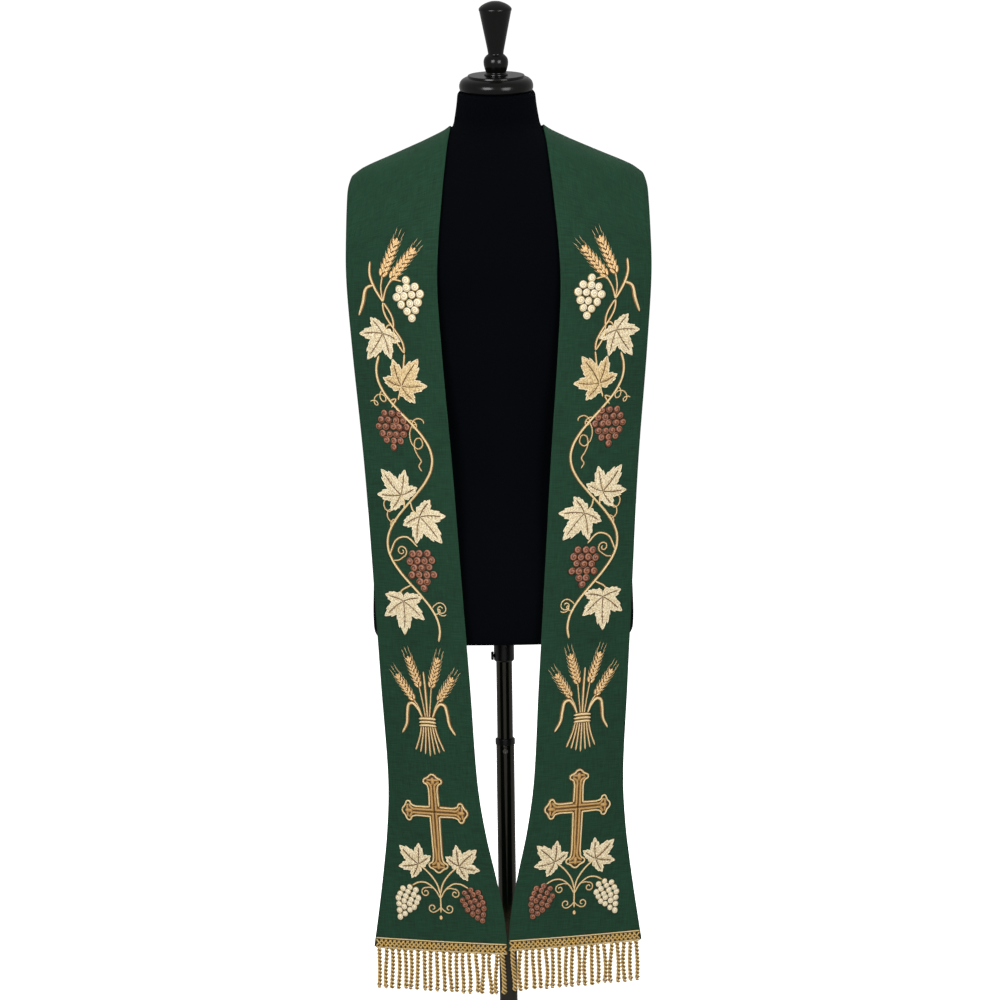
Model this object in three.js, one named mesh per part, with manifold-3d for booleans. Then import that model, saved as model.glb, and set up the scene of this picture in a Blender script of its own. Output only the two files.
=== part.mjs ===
// A clerical stole worn on a limbless dress form that stands on a pole.
// Millimetres, +Z up. The origin is the centre of the base's underside, on the floor.
// The form faces -Y. Left and right are the wearer's, so the left half of the stole is on +X.
import * as THREE from 'three';
import { mergeVertices } from 'three/addons/utils/BufferGeometryUtils.js';
import Module from 'manifold-3d';

const wasm = await Module();
wasm.setup();

// ---------------------------------------------------------------- driving dimensions

const SEAM_GAP = 0.3; // between pieces that are sewn together or that touch
const CLOTH_WALL = 2; // the stole's two cloths and their interlining
const CLOTH_CLEAR = 2; // between the torso and the inside of the cloth
const CLOTH_SOFTNESS = 4; // how gradually the cloth leaves the torso where it starts to hang
const CLOTH_STRIPS = 8; // facets across the stole

const HEM_Z = 341; // lower edge of the left half's cloth, above the floor
const RIGHT_DROP = 5; // how much lower the right half's hem hangs
const BRAID = { height: 14.5, thick: 1.6 };
const FRINGE = { length: 62, thick: 6 };

const TORSO_FACETS = 40;
const TORSO_BOTTOM = 753;
const NECK_TOP = { y: -2, z: 1493 };
const NECK_LEAN = THREE.MathUtils.degToRad(11.5); // the neck's top plane and the cap tip forwards
const BORE = { radius: 12, depth: 240 }; // takes the pole, from below

const COLLAR = { radius: 14, bottom: 716, chamfer: 2 };
const MAST = { radius: 11, bottom: 280 };
const LOWER_TUBE = { radius: 12.5, bore: 11.4, top: 600 };
const RING = { radius: 13.6, bottom: 600, top: 608.5 };
const TUBE_FACETS = 32;

const BASE = { radius: 170, thick: 12, edge: 5, boss: 32, bossTop: 44 };

const SCREW = { shank: 2.5, hole: 2.9, head: 6, headLength: 3.6, facets: 20 };
const THUMB_SCREW_Z = 723.5;
const CLAMP_SCREW = { z: 592, head: 3.6, headLength: 2.2 };

// Horizontal sections of the torso, from the bottom up. half is half the width, front and back
// are the depths from the section's centre, centre is where that lies along Y, and square says
// how full the corners are: 2 is an ellipse.
const TORSO_SECTIONS = [
  { z: TORSO_BOTTOM, half: 170, front: 97, back: 107, centre: 0, square: 2.4, steps: 1 },
  { z: 757, half: 175, front: 102, back: 112, centre: 0, square: 2.4, steps: 1 },
  { z: 766, half: 178, front: 104, back: 115, centre: 0, square: 2.4, steps: 1 },
  { z: 800, half: 178.5, front: 106, back: 118, centre: 0, square: 2.35, steps: 2 },
  { z: 870, half: 174, front: 105, back: 116, centre: 0, square: 2.3, steps: 2 },
  { z: 970, half: 153, front: 95, back: 96, centre: 0, square: 2.2, steps: 2 },
  { z: 1060, half: 154, front: 99, back: 96, centre: 0, square: 2.2, steps: 2 },
  { z: 1160, half: 165, front: 111, back: 104, centre: 0, square: 2.2, steps: 2 },
  { z: 1250, half: 179, front: 114, back: 110, centre: 0, square: 2.2, steps: 2 },
  { z: 1310, half: 189, front: 107, back: 109, centre: 1, square: 2.1, steps: 2 },
  { z: 1345, half: 194.5, front: 97, back: 101, centre: 2, square: 2, steps: 1 },
  { z: 1366, half: 195.5, front: 90, back: 94, centre: 3, square: 1.95, steps: 1 },
  { z: 1377, half: 193, front: 85, back: 90, centre: 3, square: 1.9, steps: 1 },
  { z: 1385, half: 187, front: 81, back: 86, centre: 4, square: 1.85, steps: 1 },
  { z: 1392, half: 176, front: 78, back: 83, centre: 4, square: 1.85, steps: 2 },
  { z: 1408, half: 137, front: 71, back: 76, centre: 4, square: 1.9, steps: 2 },
  { z: 1424, half: 99.5, front: 63, back: 69, centre: 5, square: 2, steps: 1 },
  { z: 1433, half: 81, front: 58, back: 65, centre: 5, square: 2, steps: 1 },
  { z: 1440, half: 68, front: 55, back: 61, centre: 4, square: 2, steps: 1 },
  { z: 1447, half: 60, front: 53, back: 58, centre: 3, square: 2, steps: 1 },
  { z: 1461, half: 56.5, front: 53, back: 54, centre: 1, square: 2, steps: 1 },
  { z: 1478, half: 53.8, front: 52.5, back: 52.5, centre: -1, square: 2, steps: 1 },
  { z: 1490, half: 52.4, front: 51.8, back: 51.8, centre: -2, square: 2, steps: 1 },
  { z: 1493, half: 50.4, front: 49.8, back: 49.8, centre: -2, square: 2, steps: 1 },
];

// Lines across the left half of the stole, from the seam at the centre of the back, over the
// shoulder, down to the hem. Each runs from the neck edge to the outer edge on the inside of
// the cloth. rest says how closely each of the two edges lies on the torso (1 on it, 0 hanging
// clear), bow how far the middle stands out, and steps how many facets follow the line.
const EDGE_X = SEAM_GAP / 2;
const CHEST_Z = 1245; // where the fronts begin to hang
const STOLE_LINES = [
  line({ name: 'back_seam', neck: [EDGE_X, 80, 1434], outer: [EDGE_X, 114, 1290], rest: [1, 1], bow: 0, steps: 3 }),
  line({ name: 'back_neck', neck: [34, 74, 1438], outer: [60, 114, 1303], rest: [1, 1], bow: 0, steps: 4 }),
  line({ name: 'back_shoulder', neck: [55, 54, 1443], outer: [132, 94, 1335], rest: [1, 1], bow: 0, steps: 4 }),
  line({ name: 'behind_ridge', neck: [61, 27, 1446], outer: [184, 38, 1374], rest: [1, 1], bow: 0, steps: 3 }),
  line({ name: 'ridge', neck: [62, 4, 1446], outer: [194, 6, 1384], rest: [1, 0.5], bow: 0, steps: 4 }),
  line({ name: 'before_ridge', neck: [63.5, -22, 1441], outer: [199.5, -22, 1366], rest: [1, 0], bow: 0, steps: 5 }),
  line({ name: 'collarbone', neck: [68, -57, 1412], outer: [201, -42, 1342], rest: [0.8, 0], bow: 1, steps: 4 }),
  line({ name: 'upper_chest', neck: [74, -89, 1355], outer: [202, -53, 1308], rest: [0.4, 0], bow: 2, steps: 4 }),
  line({ name: 'chest', neck: [81.5, -111, 1245], outer: [202.5, -60, 1250], rest: [0, 0], bow: 3, steps: 3 }),
  line({ name: 'under_chest', neck: [77, -113, 1150], outer: [196, -62, 1150], rest: [0, 0], bow: 3, steps: 3 }),
  line({ name: 'waist', neck: [66, -113.5, 1000], outer: [183, -63.5, 1000], rest: [0, 0], bow: 3, steps: 2 }),
  line({ name: 'hip', neck: [56, -114, 850], outer: [174, -65, 850], rest: [0, 0], bow: 2.5, steps: 2 }),
  line({ name: 'thigh', neck: [46, -114, 700], outer: [165.5, -66.5, 700], rest: [0, 0], bow: 2, steps: 2 }),
  line({ name: 'flare', neck: [37.5, -114.5, 565], outer: [158, -68, 565], rest: [0, 0], bow: 2, steps: 2 }),
  line({ name: 'flare_upper', neck: [27.5, -114.7, 500], outer: [161, -68.5, 500], rest: [0, 0], bow: 2, steps: 1 }),
  line({ name: 'flare_middle', neck: [16.5, -114.8, 450], outer: [166.5, -69, 450], rest: [0, 0], bow: 2, steps: 1 }),
  line({ name: 'flare_lower', neck: [6.5, -115, 400], outer: [173, -69.5, 400], rest: [0, 0], bow: 2, steps: 1 }),
  line({ name: 'hem', neck: [EDGE_X, -115, HEM_Z], outer: [181.5, -70, HEM_Z], rest: [0, 0], bow: 2, steps: 1 }),
];

/** One row of the table above, with its two points as vectors. */
function line(row) {
  return { ...row, neck: new THREE.Vector3(...row.neck), outer: new THREE.Vector3(...row.outer) };
}

// ---------------------------------------------------------------- finishes

const material = (color, roughness, metalness = 0) => new THREE.MeshStandardMaterial({ color, roughness, metalness });

const FINISH = {
  stoleCloth: material(0x2c5641, 0.75),
  goldBraid: material(0xb58a3c, 0.5),
  goldFringe: material(0xc39d55, 0.55),
  jersey: material(0x0b0d12, 0.9),
  lacquer: material(0x0c0c0c, 0.15),
  blackMetal: material(0x101010, 0.35, 0.6),
  darkChrome: material(0x35342f, 0.25, 0.9),
};

// ---------------------------------------------------------------- geometry helpers

/** A named mesh of a closed geometry. */
function piece(name, geometry, finish) {
  const mesh = new THREE.Mesh(geometry, finish);
  mesh.name = name;
  return mesh;
}

/** A closed geometry from points and triangles, turned inside out if its faces point in. */
function closedGeometry(points, triangles) {
  const a = new THREE.Vector3();
  const volume = triangles.reduce((sum, [i, j, k]) => sum + a.crossVectors(points[i], points[j]).dot(points[k]), 0);
  const geometry = new THREE.BufferGeometry().setFromPoints(points);
  geometry.setIndex(triangles.flatMap(([i, j, k]) => (volume > 0 ? [i, j, k] : [i, k, j])));
  return geometry;
}

/** The same geometry on the other side of the YZ plane. */
function mirrored(geometry) {
  const copy = geometry.clone();
  copy.scale(-1, 1, 1);
  const index = copy.getIndex().array;
  for (let i = 0; i < index.length; i += 3) [index[i + 1], index[i + 2]] = [index[i + 2], index[i + 1]];
  return copy;
}

/** A solid turned about the Z axis from [radius, z] pairs that start and end on the axis or close. */
function turned(profile, facets) {
  const geometry = new THREE.LatheGeometry(profile.map(([r, z]) => new THREE.Vector2(r, z)), facets);
  return geometry.rotateX(Math.PI / 2);
}

/** A ring or tube turned about the Z axis, with a bore. */
function turnedTube(outer, bore, bottom, top, facets) {
  return turned([[bore, bottom], [outer, bottom], [outer, top], [bore, top], [bore, bottom]], facets);
}

/** A manifold solid of a geometry, for cutting. */
function solid(geometry) {
  const bare = geometry.clone();
  bare.deleteAttribute('normal');
  bare.deleteAttribute('uv');
  const merged = mergeVertices(bare, 1e-4);
  return new wasm.Manifold(
    new wasm.Mesh({
      numProp: 3,
      vertProperties: new Float32Array(merged.getAttribute('position').array),
      triVerts: new Uint32Array(merged.getIndex().array),
    }),
  );
}

/** What is left of one geometry after the others are cut out of it. */
function cut(geometry, ...tools) {
  const left = tools.reduce((body, tool) => body.subtract(solid(tool)), solid(geometry)).getMesh();
  const result = new THREE.BufferGeometry();
  result.setAttribute('position', new THREE.BufferAttribute(new Float32Array(left.vertProperties), 3));
  result.setIndex(new THREE.BufferAttribute(new Uint32Array(left.triVerts), 1));
  return result;
}

/** An upright cylinder standing on a height. */
function post(radius, bottom, top, facets) {
  return new THREE.CylinderGeometry(radius, radius, top - bottom, facets)
    .rotateX(Math.PI / 2)
    .translate(0, 0, (bottom + top) / 2);
}

// ---------------------------------------------------------------- torso

/** The torso's section at a height, eased between the rows of the table. */
function torsoSection(z) {
  const rows = TORSO_SECTIONS;
  const last = rows.length - 2;
  const found = rows.findIndex((row, i) => i < rows.length - 1 && z <= rows[i + 1].z);
  const i = found < 0 ? last : found;
  const gap = rows[i + 1].z - rows[i].z;
  const t = THREE.MathUtils.clamp((z - rows[i].z) / gap, 0, 1);
  const slope = (key, k) => {
    const before = rows[Math.max(k - 1, 0)];
    const after = rows[Math.min(k + 1, rows.length - 1)];
    return (after[key] - before[key]) / (after.z - before.z);
  };
  const eased = (key) => {
    const [a, b, ta, tb] = [rows[i][key], rows[i + 1][key], slope(key, i) * gap, slope(key, i + 1) * gap];
    return a + ta * t + (3 * (b - a) - 2 * ta - tb) * t * t + (2 * (a - b) + ta + tb) * t * t * t;
  };
  return Object.fromEntries(['half', 'front', 'back', 'centre', 'square'].map((key) => [key, eased(key)]));
}

/** How much further up the back of the leaning neck is than its axis, for each millimetre back. */
function neckLean(z) {
  return Math.tan(NECK_LEAN) * THREE.MathUtils.smoothstep(z, 1447, NECK_TOP.z);
}

/** A point of the torso's section at a height, at an angle round it. */
function torsoPoint(z, angle) {
  const s = torsoSection(z);
  const [c, d] = [Math.cos(angle), Math.sin(angle)];
  const power = 2 / s.square;
  const x = s.half * Math.sign(c) * Math.abs(c) ** power;
  const y = (d < 0 ? s.front : s.back) * Math.sign(d) * Math.abs(d) ** power;
  return new THREE.Vector3(x, s.centre + y, z + neckLean(z) * y);
}

/** Roughly how far a point is outside the torso, below the neck. */
function torsoGap(p) {
  const level = (x, y, z) => {
    const s = torsoSection(z);
    const depth = y < s.centre ? s.front : s.back;
    return ((Math.abs(x) / s.half) ** s.square + (Math.abs(y - s.centre) / depth) ** s.square) ** (1 / s.square) - 1;
  };
  const h = 0.5;
  const slope = new THREE.Vector3(
    level(p.x + h, p.y, p.z) - level(p.x - h, p.y, p.z),
    level(p.x, p.y + h, p.z) - level(p.x, p.y - h, p.z),
    level(p.x, p.y, p.z + h) - level(p.x, p.y, p.z - h),
  ).divideScalar(2 * h);
  return { gap: level(p.x, p.y, p.z) / slope.length(), out: slope.normalize() };
}

/** The padded torso: rings between the rows of its table, closed below and above, with the bore. */
function torsoGeometry() {
  const heights = TORSO_SECTIONS.slice(0, -1).flatMap((row, i) =>
    Array.from({ length: row.steps }, (_, k) => row.z + ((TORSO_SECTIONS[i + 1].z - row.z) * k) / row.steps),
  );
  heights.push(TORSO_SECTIONS.at(-1).z);
  const rings = heights.map((z) =>
    Array.from({ length: TORSO_FACETS }, (_, k) => torsoPoint(z, (2 * Math.PI * k) / TORSO_FACETS)),
  );
  const points = rings.flat();
  const triangles = [];
  for (let i = 0; i + 1 < rings.length; i++) {
    for (let k = 0; k < TORSO_FACETS; k++) {
      const next = (k + 1) % TORSO_FACETS;
      const [a, b] = [i * TORSO_FACETS + k, i * TORSO_FACETS + next];
      triangles.push([a, b, b + TORSO_FACETS], [a, b + TORSO_FACETS, a + TORSO_FACETS]);
    }
  }
  const top = (rings.length - 1) * TORSO_FACETS;
  const [low, high] = [points.length, points.length + 1];
  points.push(new THREE.Vector3(0, 0, TORSO_BOTTOM), new THREE.Vector3(0, NECK_TOP.y, NECK_TOP.z));
  for (let k = 0; k < TORSO_FACETS; k++) {
    const next = (k + 1) % TORSO_FACETS;
    triangles.push([low, next, k], [high, top + k, top + next]);
  }
  const bore = post(BORE.radius, TORSO_BOTTOM - 10, TORSO_BOTTOM + BORE.depth, TUBE_FACETS);
  return cut(closedGeometry(points, triangles), bore);
}

// ---------------------------------------------------------------- stole

const neckEdge = new THREE.CatmullRomCurve3(STOLE_LINES.map((row) => row.neck));
const outerEdge = new THREE.CatmullRomCurve3(STOLE_LINES.map((row) => row.outer));

/** A point on the inside of the left half: u counts the table's rows, t goes from neck edge to outer edge. */
function stolePoint(u, t, drop) {
  const share = u / (STOLE_LINES.length - 1);
  const [neck, outer] = [neckEdge.getPoint(share), outerEdge.getPoint(share)];
  const i = Math.min(Math.floor(u), STOLE_LINES.length - 2);
  const [a, b] = [STOLE_LINES[i], STOLE_LINES[i + 1]];
  const p = neck.clone().lerp(outer, t);
  const bow = THREE.MathUtils.lerp(a.bow, b.bow, u - i) * 4 * t * (1 - t);
  const across = outer.clone().sub(neck);
  p.add(new THREE.Vector3(across.y, -across.x, 0).normalize().multiplyScalar(bow));
  const restAt = (row) => THREE.MathUtils.lerp(...row.rest, t);
  const rest = THREE.MathUtils.lerp(restAt(a), restAt(b), u - i);
  const near = torsoGap(p);
  const short = CLOTH_CLEAR - near.gap;
  const stood = (short + Math.hypot(short, CLOTH_SOFTNESS)) / 2;
  p.addScaledVector(near.out, THREE.MathUtils.lerp(stood, short, rest));
  const after = torsoGap(p);
  p.addScaledVector(after.out, Math.max(CLOTH_CLEAR - after.gap, 0));
  if (u === 0) p.x = EDGE_X;
  p.z -= drop * Math.max(0, (CHEST_Z - p.z) / (CHEST_Z - HEM_Z));
  return p;
}

/** The rows of inside points of the left half, one for each facet along it. The last but one is the braid's top. */
function stoleGrid(drop) {
  const places = STOLE_LINES.slice(0, -1).flatMap((row, i) =>
    Array.from({ length: row.steps }, (_, k) => i + k / row.steps),
  );
  const hem = STOLE_LINES.length - 1;
  const lastRow = STOLE_LINES[hem - 1].neck.z - HEM_Z;
  places.push(hem - BRAID.height / lastRow, hem);
  return places.map((u) => Array.from({ length: CLOTH_STRIPS + 1 }, (_, j) => stolePoint(u, j / CLOTH_STRIPS, drop)));
}

/** The outward unit normal at each point of a grid. */
function gridNormals(grid) {
  return grid.map((row, i) =>
    row.map((_, j) => {
      const along = grid[Math.min(i + 1, grid.length - 1)][j].clone().sub(grid[Math.max(i - 1, 0)][j]);
      const across = row[Math.min(j + 1, row.length - 1)].clone().sub(row[Math.max(j - 1, 0)]);
      return along.cross(across).normalize();
    }),
  );
}

/** A grid moved out along its normals, kept on its own side of the centre seam. */
function movedOut(grid, normals, distance) {
  return grid.map((row, i) =>
    row.map((p, j) => {
      const q = p.clone().addScaledVector(normals[i][j], distance);
      q.x = i === 0 ? EDGE_X : Math.max(q.x, EDGE_X);
      return q;
    }),
  );
}

/** A closed wall between two grids of the same size. */
function wallGeometry(inside, outside) {
  const [rows, columns] = [inside.length, inside[0].length];
  const points = [...inside.flat(), ...outside.flat()];
  const at = (layer, i, j) => layer * rows * columns + i * columns + j;
  const triangles = [];
  const quad = (a, b, c, d) => triangles.push([a, b, c], [a, c, d]);
  for (let i = 0; i + 1 < rows; i++) {
    for (let j = 0; j + 1 < columns; j++) {
      quad(at(0, i, j), at(0, i, j + 1), at(0, i + 1, j + 1), at(0, i + 1, j));
      quad(at(1, i, j), at(1, i + 1, j), at(1, i + 1, j + 1), at(1, i, j + 1));
    }
    quad(at(0, i, 0), at(0, i + 1, 0), at(1, i + 1, 0), at(1, i, 0));
    quad(at(0, i, columns - 1), at(1, i, columns - 1), at(1, i + 1, columns - 1), at(0, i + 1, columns - 1));
  }
  for (let j = 0; j + 1 < columns; j++) {
    quad(at(0, 0, j), at(1, 0, j), at(1, 0, j + 1), at(0, 0, j + 1));
    quad(at(0, rows - 1, j), at(0, rows - 1, j + 1), at(1, rows - 1, j + 1), at(1, rows - 1, j));
  }
  return closedGeometry(points, triangles);
}

/** The braid on the front of the hem, from the panel's own last two rows of points. */
function braidGeometry(grid, normals) {
  const face = CLOTH_WALL + SEAM_GAP;
  return wallGeometry(
    movedOut(grid, normals, face).slice(-2),
    movedOut(grid, normals, face + BRAID.thick).slice(-2),
  );
}

/** The plain solid of the fringe's reach, under the hem's points. */
function fringeGeometry(hem) {
  const layer = (back) =>
    [SEAM_GAP, FRINGE.length].map((down) =>
      hem.map((p) => new THREE.Vector3(p.x, p.y - CLOTH_WALL / 2 + back, p.z - down)),
    );
  return wallGeometry(layer(FRINGE.thick / 2), layer(-FRINGE.thick / 2));
}

/** One half of the stole with its braid and its fringe. The right half is the left one, mirrored and lower. */
function stoleHalf(side) {
  const group = new THREE.Group();
  const grid = stoleGrid(side === 'right' ? RIGHT_DROP : 0);
  const normals = gridNormals(grid);
  const geometries = {
    stole_half: [wallGeometry(grid, movedOut(grid, normals, CLOTH_WALL)), FINISH.stoleCloth],
    braid: [braidGeometry(grid, normals), FINISH.goldBraid],
    fringe: [fringeGeometry(grid.at(-1)), FINISH.goldFringe],
  };
  for (const [name, [geometry, finish]] of Object.entries(geometries)) {
    group.add(piece(`${name}_${side}`, side === 'right' ? mirrored(geometry) : geometry, finish));
  }
  return group;
}

// ---------------------------------------------------------------- cap and finial

/** The lacquered cap, measured up from the neck's top. */
function capProfile() {
  return [
    [0, 0.5], [48.5, 0.5], [49.6, 3], [50, 7], [49.2, 11.5], [46.6, 15.5], [42.6, 18.4], [38.6, 19.6],
    [38.4, 20.4], [38.4, 21.6], [37.6, 22.2], [0, 22.2],
  ];
}

/** The turned finial on the cap: a foot, a bead, a long taper and a domed top. */
function finialProfile() {
  return [
    [0, 22.5], [16, 22.5], [16, 23.6], [13.6, 25], [13.6, 26.2], [14.8, 30], [16.2, 35], [16.6, 40], [15.6, 44.5],
    [13, 48], [10.6, 50], [10.4, 51.4], [21.4, 107.4], [22.3, 109.6], [21.6, 111.4], [18, 114.8], [12.6, 118],
    [6.4, 120], [0, 120.6],
  ];
}

/** The cap and the finial, tipped forwards with the neck's top. */
function neckTopPieces() {
  const group = new THREE.Group();
  group.position.set(0, NECK_TOP.y, NECK_TOP.z);
  group.rotation.x = NECK_LEAN;
  group.add(piece('neck_cap', turned(capProfile(), 36), FINISH.lacquer));
  group.add(piece('finial', turned(finialProfile(), 28), FINISH.lacquer));
  return group;
}

// ---------------------------------------------------------------- pole and base

/** A screw along +X: a shank from one distance to another, then its domed head. */
function screwGeometry(from, to, head, headLength) {
  const profile = [
    [0, from], [SCREW.shank, from], [SCREW.shank, to], [head * 0.85, to], [head, to + 0.6],
    [head, to + headLength * 0.6], [head * 0.8, to + headLength * 0.9], [head * 0.4, to + headLength],
    [0, to + headLength],
  ];
  return turned(profile, SCREW.facets).rotateY(Math.PI / 2);
}

/** A cutting tool for a screw's hole along +X. */
function screwHole(from, to) {
  return post(SCREW.hole, from, to, SCREW.facets).rotateY(Math.PI / 2);
}

/** The collar under the torso that takes the pole, and its hand screw, on the wearer's right. */
function socket() {
  const group = new THREE.Group();
  const { radius, bottom, chamfer } = COLLAR;
  const bore = BORE.radius - 0.4;
  const profile = [
    [bore, bottom], [radius - chamfer, bottom], [radius, bottom + chamfer], [radius, TORSO_BOTTOM - SEAM_GAP],
    [bore, TORSO_BOTTOM - SEAM_GAP], [bore, bottom],
  ];
  const hole = screwHole(bore - 3, radius + 3).rotateZ(Math.PI).translate(0, 0, THUMB_SCREW_Z);
  group.add(piece('socket_collar', cut(turned(profile, TUBE_FACETS), hole), FINISH.blackMetal));
  const screw = screwGeometry(MAST.radius + SEAM_GAP, radius + SEAM_GAP, SCREW.head, SCREW.headLength);
  const thumbScrew = piece('thumb_screw', screw, FINISH.blackMetal);
  thumbScrew.rotation.z = Math.PI;
  thumbScrew.position.z = THUMB_SCREW_Z;
  group.add(thumbScrew);
  return group;
}

/** The upper tube of the pole: it slides in the lower tube, and the torso turns on its top. */
function mast() {
  const top = TORSO_BOTTOM + BORE.depth - SEAM_GAP;
  return piece('mast', post(MAST.radius, MAST.bottom, top, TUBE_FACETS), FINISH.darkChrome);
}

/** The base, the lower tube with its clamp ring, and the clamp screw, which faces front. */
function stand() {
  const group = new THREE.Group();
  const { radius, thick, edge, boss, bossTop } = BASE;
  const socketFloor = thick + 4;
  const tubeBore = LOWER_TUBE.radius + SEAM_GAP;
  const baseProfile = [
    [0, 0], [radius - 1, 0], [radius, 1], [radius, thick - edge], [radius - edge * 0.3, thick - edge * 0.3],
    [radius - edge, thick], [boss + 4, thick], [boss + 1.2, thick + 1.2], [boss, thick + 4], [boss - 6, bossTop - 3],
    [boss - 9, bossTop], [tubeBore, bossTop], [tubeBore, socketFloor], [0, socketFloor],
  ];
  group.add(piece('base', turned(baseProfile, 56), FINISH.blackMetal));

  const tubeBottom = socketFloor + SEAM_GAP;
  const tube = turnedTube(LOWER_TUBE.radius, LOWER_TUBE.bore, tubeBottom, LOWER_TUBE.top - SEAM_GAP, TUBE_FACETS);
  const hole = screwHole(LOWER_TUBE.bore - 3, LOWER_TUBE.radius + 3)
    .rotateZ(-Math.PI / 2)
    .translate(0, 0, CLAMP_SCREW.z);
  group.add(piece('lower_tube', cut(tube, hole), FINISH.darkChrome));
  group.add(piece('ring_collar', turnedTube(RING.radius, LOWER_TUBE.bore, RING.bottom, RING.top, TUBE_FACETS),
    FINISH.blackMetal));

  const screw = screwGeometry(MAST.radius + SEAM_GAP, LOWER_TUBE.radius + SEAM_GAP, CLAMP_SCREW.head,
    CLAMP_SCREW.headLength);
  const clampScrew = piece('clamp_screw', screw, FINISH.blackMetal);
  clampScrew.rotation.z = -Math.PI / 2;
  clampScrew.position.z = CLAMP_SCREW.z;
  group.add(clampScrew);
  return group;
}

// ---------------------------------------------------------------- the whole

const stoleOnForm = new THREE.Group();
stoleOnForm.add(stoleHalf('left'), stoleHalf('right'));
stoleOnForm.add(piece('torso', torsoGeometry(), FINISH.jersey));
stoleOnForm.add(neckTopPieces());
stoleOnForm.add(socket());
stoleOnForm.add(mast());
stoleOnForm.add(stand());

export default stoleOnForm;
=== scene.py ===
"""The looks of a clerical stole on a limbless dress form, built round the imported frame.

Shapes are worked out in millimetres and brought to metres when a piece is finished. +Z is up, the
form faces -Y, and left and right are the wearer's, so the left half of the stole is on +X.
"""

import functools
import logging
import math
import random
from dataclasses import dataclass
from enum import Enum

import bmesh
import bpy
import numpy as np
from mathutils import Matrix, Vector


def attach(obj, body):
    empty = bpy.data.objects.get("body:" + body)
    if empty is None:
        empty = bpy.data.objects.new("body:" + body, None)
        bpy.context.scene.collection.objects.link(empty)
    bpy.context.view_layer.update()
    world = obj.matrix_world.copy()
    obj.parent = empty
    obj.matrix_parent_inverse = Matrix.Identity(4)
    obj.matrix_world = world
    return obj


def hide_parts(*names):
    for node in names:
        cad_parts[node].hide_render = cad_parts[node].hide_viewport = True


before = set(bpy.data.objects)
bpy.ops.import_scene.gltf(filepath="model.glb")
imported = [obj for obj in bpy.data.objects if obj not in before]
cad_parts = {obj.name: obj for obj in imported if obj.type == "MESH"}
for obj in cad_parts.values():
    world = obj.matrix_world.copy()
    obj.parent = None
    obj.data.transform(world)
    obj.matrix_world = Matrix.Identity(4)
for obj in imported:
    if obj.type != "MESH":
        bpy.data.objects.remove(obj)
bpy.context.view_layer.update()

log = logging.getLogger("stole")

MM = 0.001  # metres in a millimetre
MERGE = 1e-3  # points nearer than this, in millimetres, are one
SEED = 11


class Side(Enum):
    """A half of the stole, by the wearer's side, with the way its X runs."""

    LEFT = 1
    RIGHT = -1

    @property
    def word(self) -> str:
        """The side's name in small letters."""
        return self.name.lower()


# ---------------------------------------------------------------- colours and nodes


def paint(code: str) -> tuple[float, float, float, float]:
    """The linear colour of a six-digit display code.

    Args:
        code: Two hexadecimal digits each of red, green and blue.

    Returns:
        The colour with an alpha of one.
    """
    channels = [int(code[i : i + 2], 16) / 255 for i in (0, 2, 4)]
    linear = [c / 12.92 if c <= 0.04045 else ((c + 0.055) / 1.055) ** 2.4 for c in channels]
    return (*linear, 1.0)


class NodeSheet:
    """A material and the nodes that are added to it one at a time."""

    def __init__(self, name: str) -> None:
        """Start a material with a plain shader.

        Args:
            name: The material's name.
        """
        self.material = bpy.data.materials.new(name)
        self.material.use_nodes = True
        self.tree = self.material.node_tree
        self.shader = self.tree.nodes["Principled BSDF"]

    def add(self, kind: str, inputs: dict, **settings: object) -> bpy.types.Node:
        """Add a node.

        Args:
            kind: The node's type, without its ShaderNode prefix.
            inputs: Each input's name or place, with a value or a socket to link.
            settings: The node's own properties.

        Returns:
            The node.
        """
        node = self.tree.nodes.new("ShaderNode" + kind)
        for key, value in settings.items():
            setattr(node, key, value)
        self.fill(node, inputs)
        return node

    def fill(self, node: bpy.types.Node, inputs: dict) -> None:
        """Set or link a node's inputs, as add() takes them."""
        for key, value in inputs.items():
            if isinstance(value, bpy.types.NodeSocket):
                self.tree.links.new(value, node.inputs[key])
            else:
                node.inputs[key].default_value = value

    def place(self) -> bpy.types.NodeSocket:
        """The object's own coordinates, in metres."""
        return self.add("TexCoord", {}).outputs["Object"]

    def stitch_uv(self) -> bpy.types.NodeSocket:
        """The piece's own UV map."""
        return self.add("UVMap", {}, uv_map="stitch").outputs["UV"]

    def stretched(self, vector: bpy.types.NodeSocket, scale: tuple) -> bpy.types.NodeSocket:
        """A vector with each of its parts multiplied."""
        return self.add("Mapping", {"Vector": vector, "Scale": scale}).outputs["Vector"]

    def noise(self, vector: bpy.types.NodeSocket, scale: float, detail: float = 2.0) -> bpy.types.NodeSocket:
        """A soft noise between nought and one."""
        settings = {"Vector": vector, "Scale": scale, "Detail": detail}
        return self.add("TexNoise", settings).outputs["Fac"]

    def sum_of(self, operation: str, *values: object) -> bpy.types.NodeSocket:
        """The result of a Math node on up to three values."""
        return self.add("Math", dict(enumerate(values)), operation=operation).outputs[0]

    def between(self, value: bpy.types.NodeSocket, low: float, high: float) -> bpy.types.NodeSocket:
        """Nought up to low and one from high on, eased between."""
        inputs = {"Value": value, "From Min": low, "From Max": high}
        return self.add("MapRange", inputs, interpolation_type="SMOOTHSTEP").outputs["Result"]

    def blend(self, share: object, first: object, second: object) -> bpy.types.NodeSocket:
        """A colour between two colours."""
        node = self.add("Mix", {}, data_type="RGBA")
        self.fill(node, {0: share, 6: first, 7: second})
        return node.outputs[2]

    def raise_surface(self, height: bpy.types.NodeSocket, depth: float) -> None:
        """Give the shader a bump from a height, depth metres deep."""
        bump = self.add("Bump", {"Height": height, "Distance": depth})
        self.fill(self.shader, {"Normal": bump.outputs["Normal"]})


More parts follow.
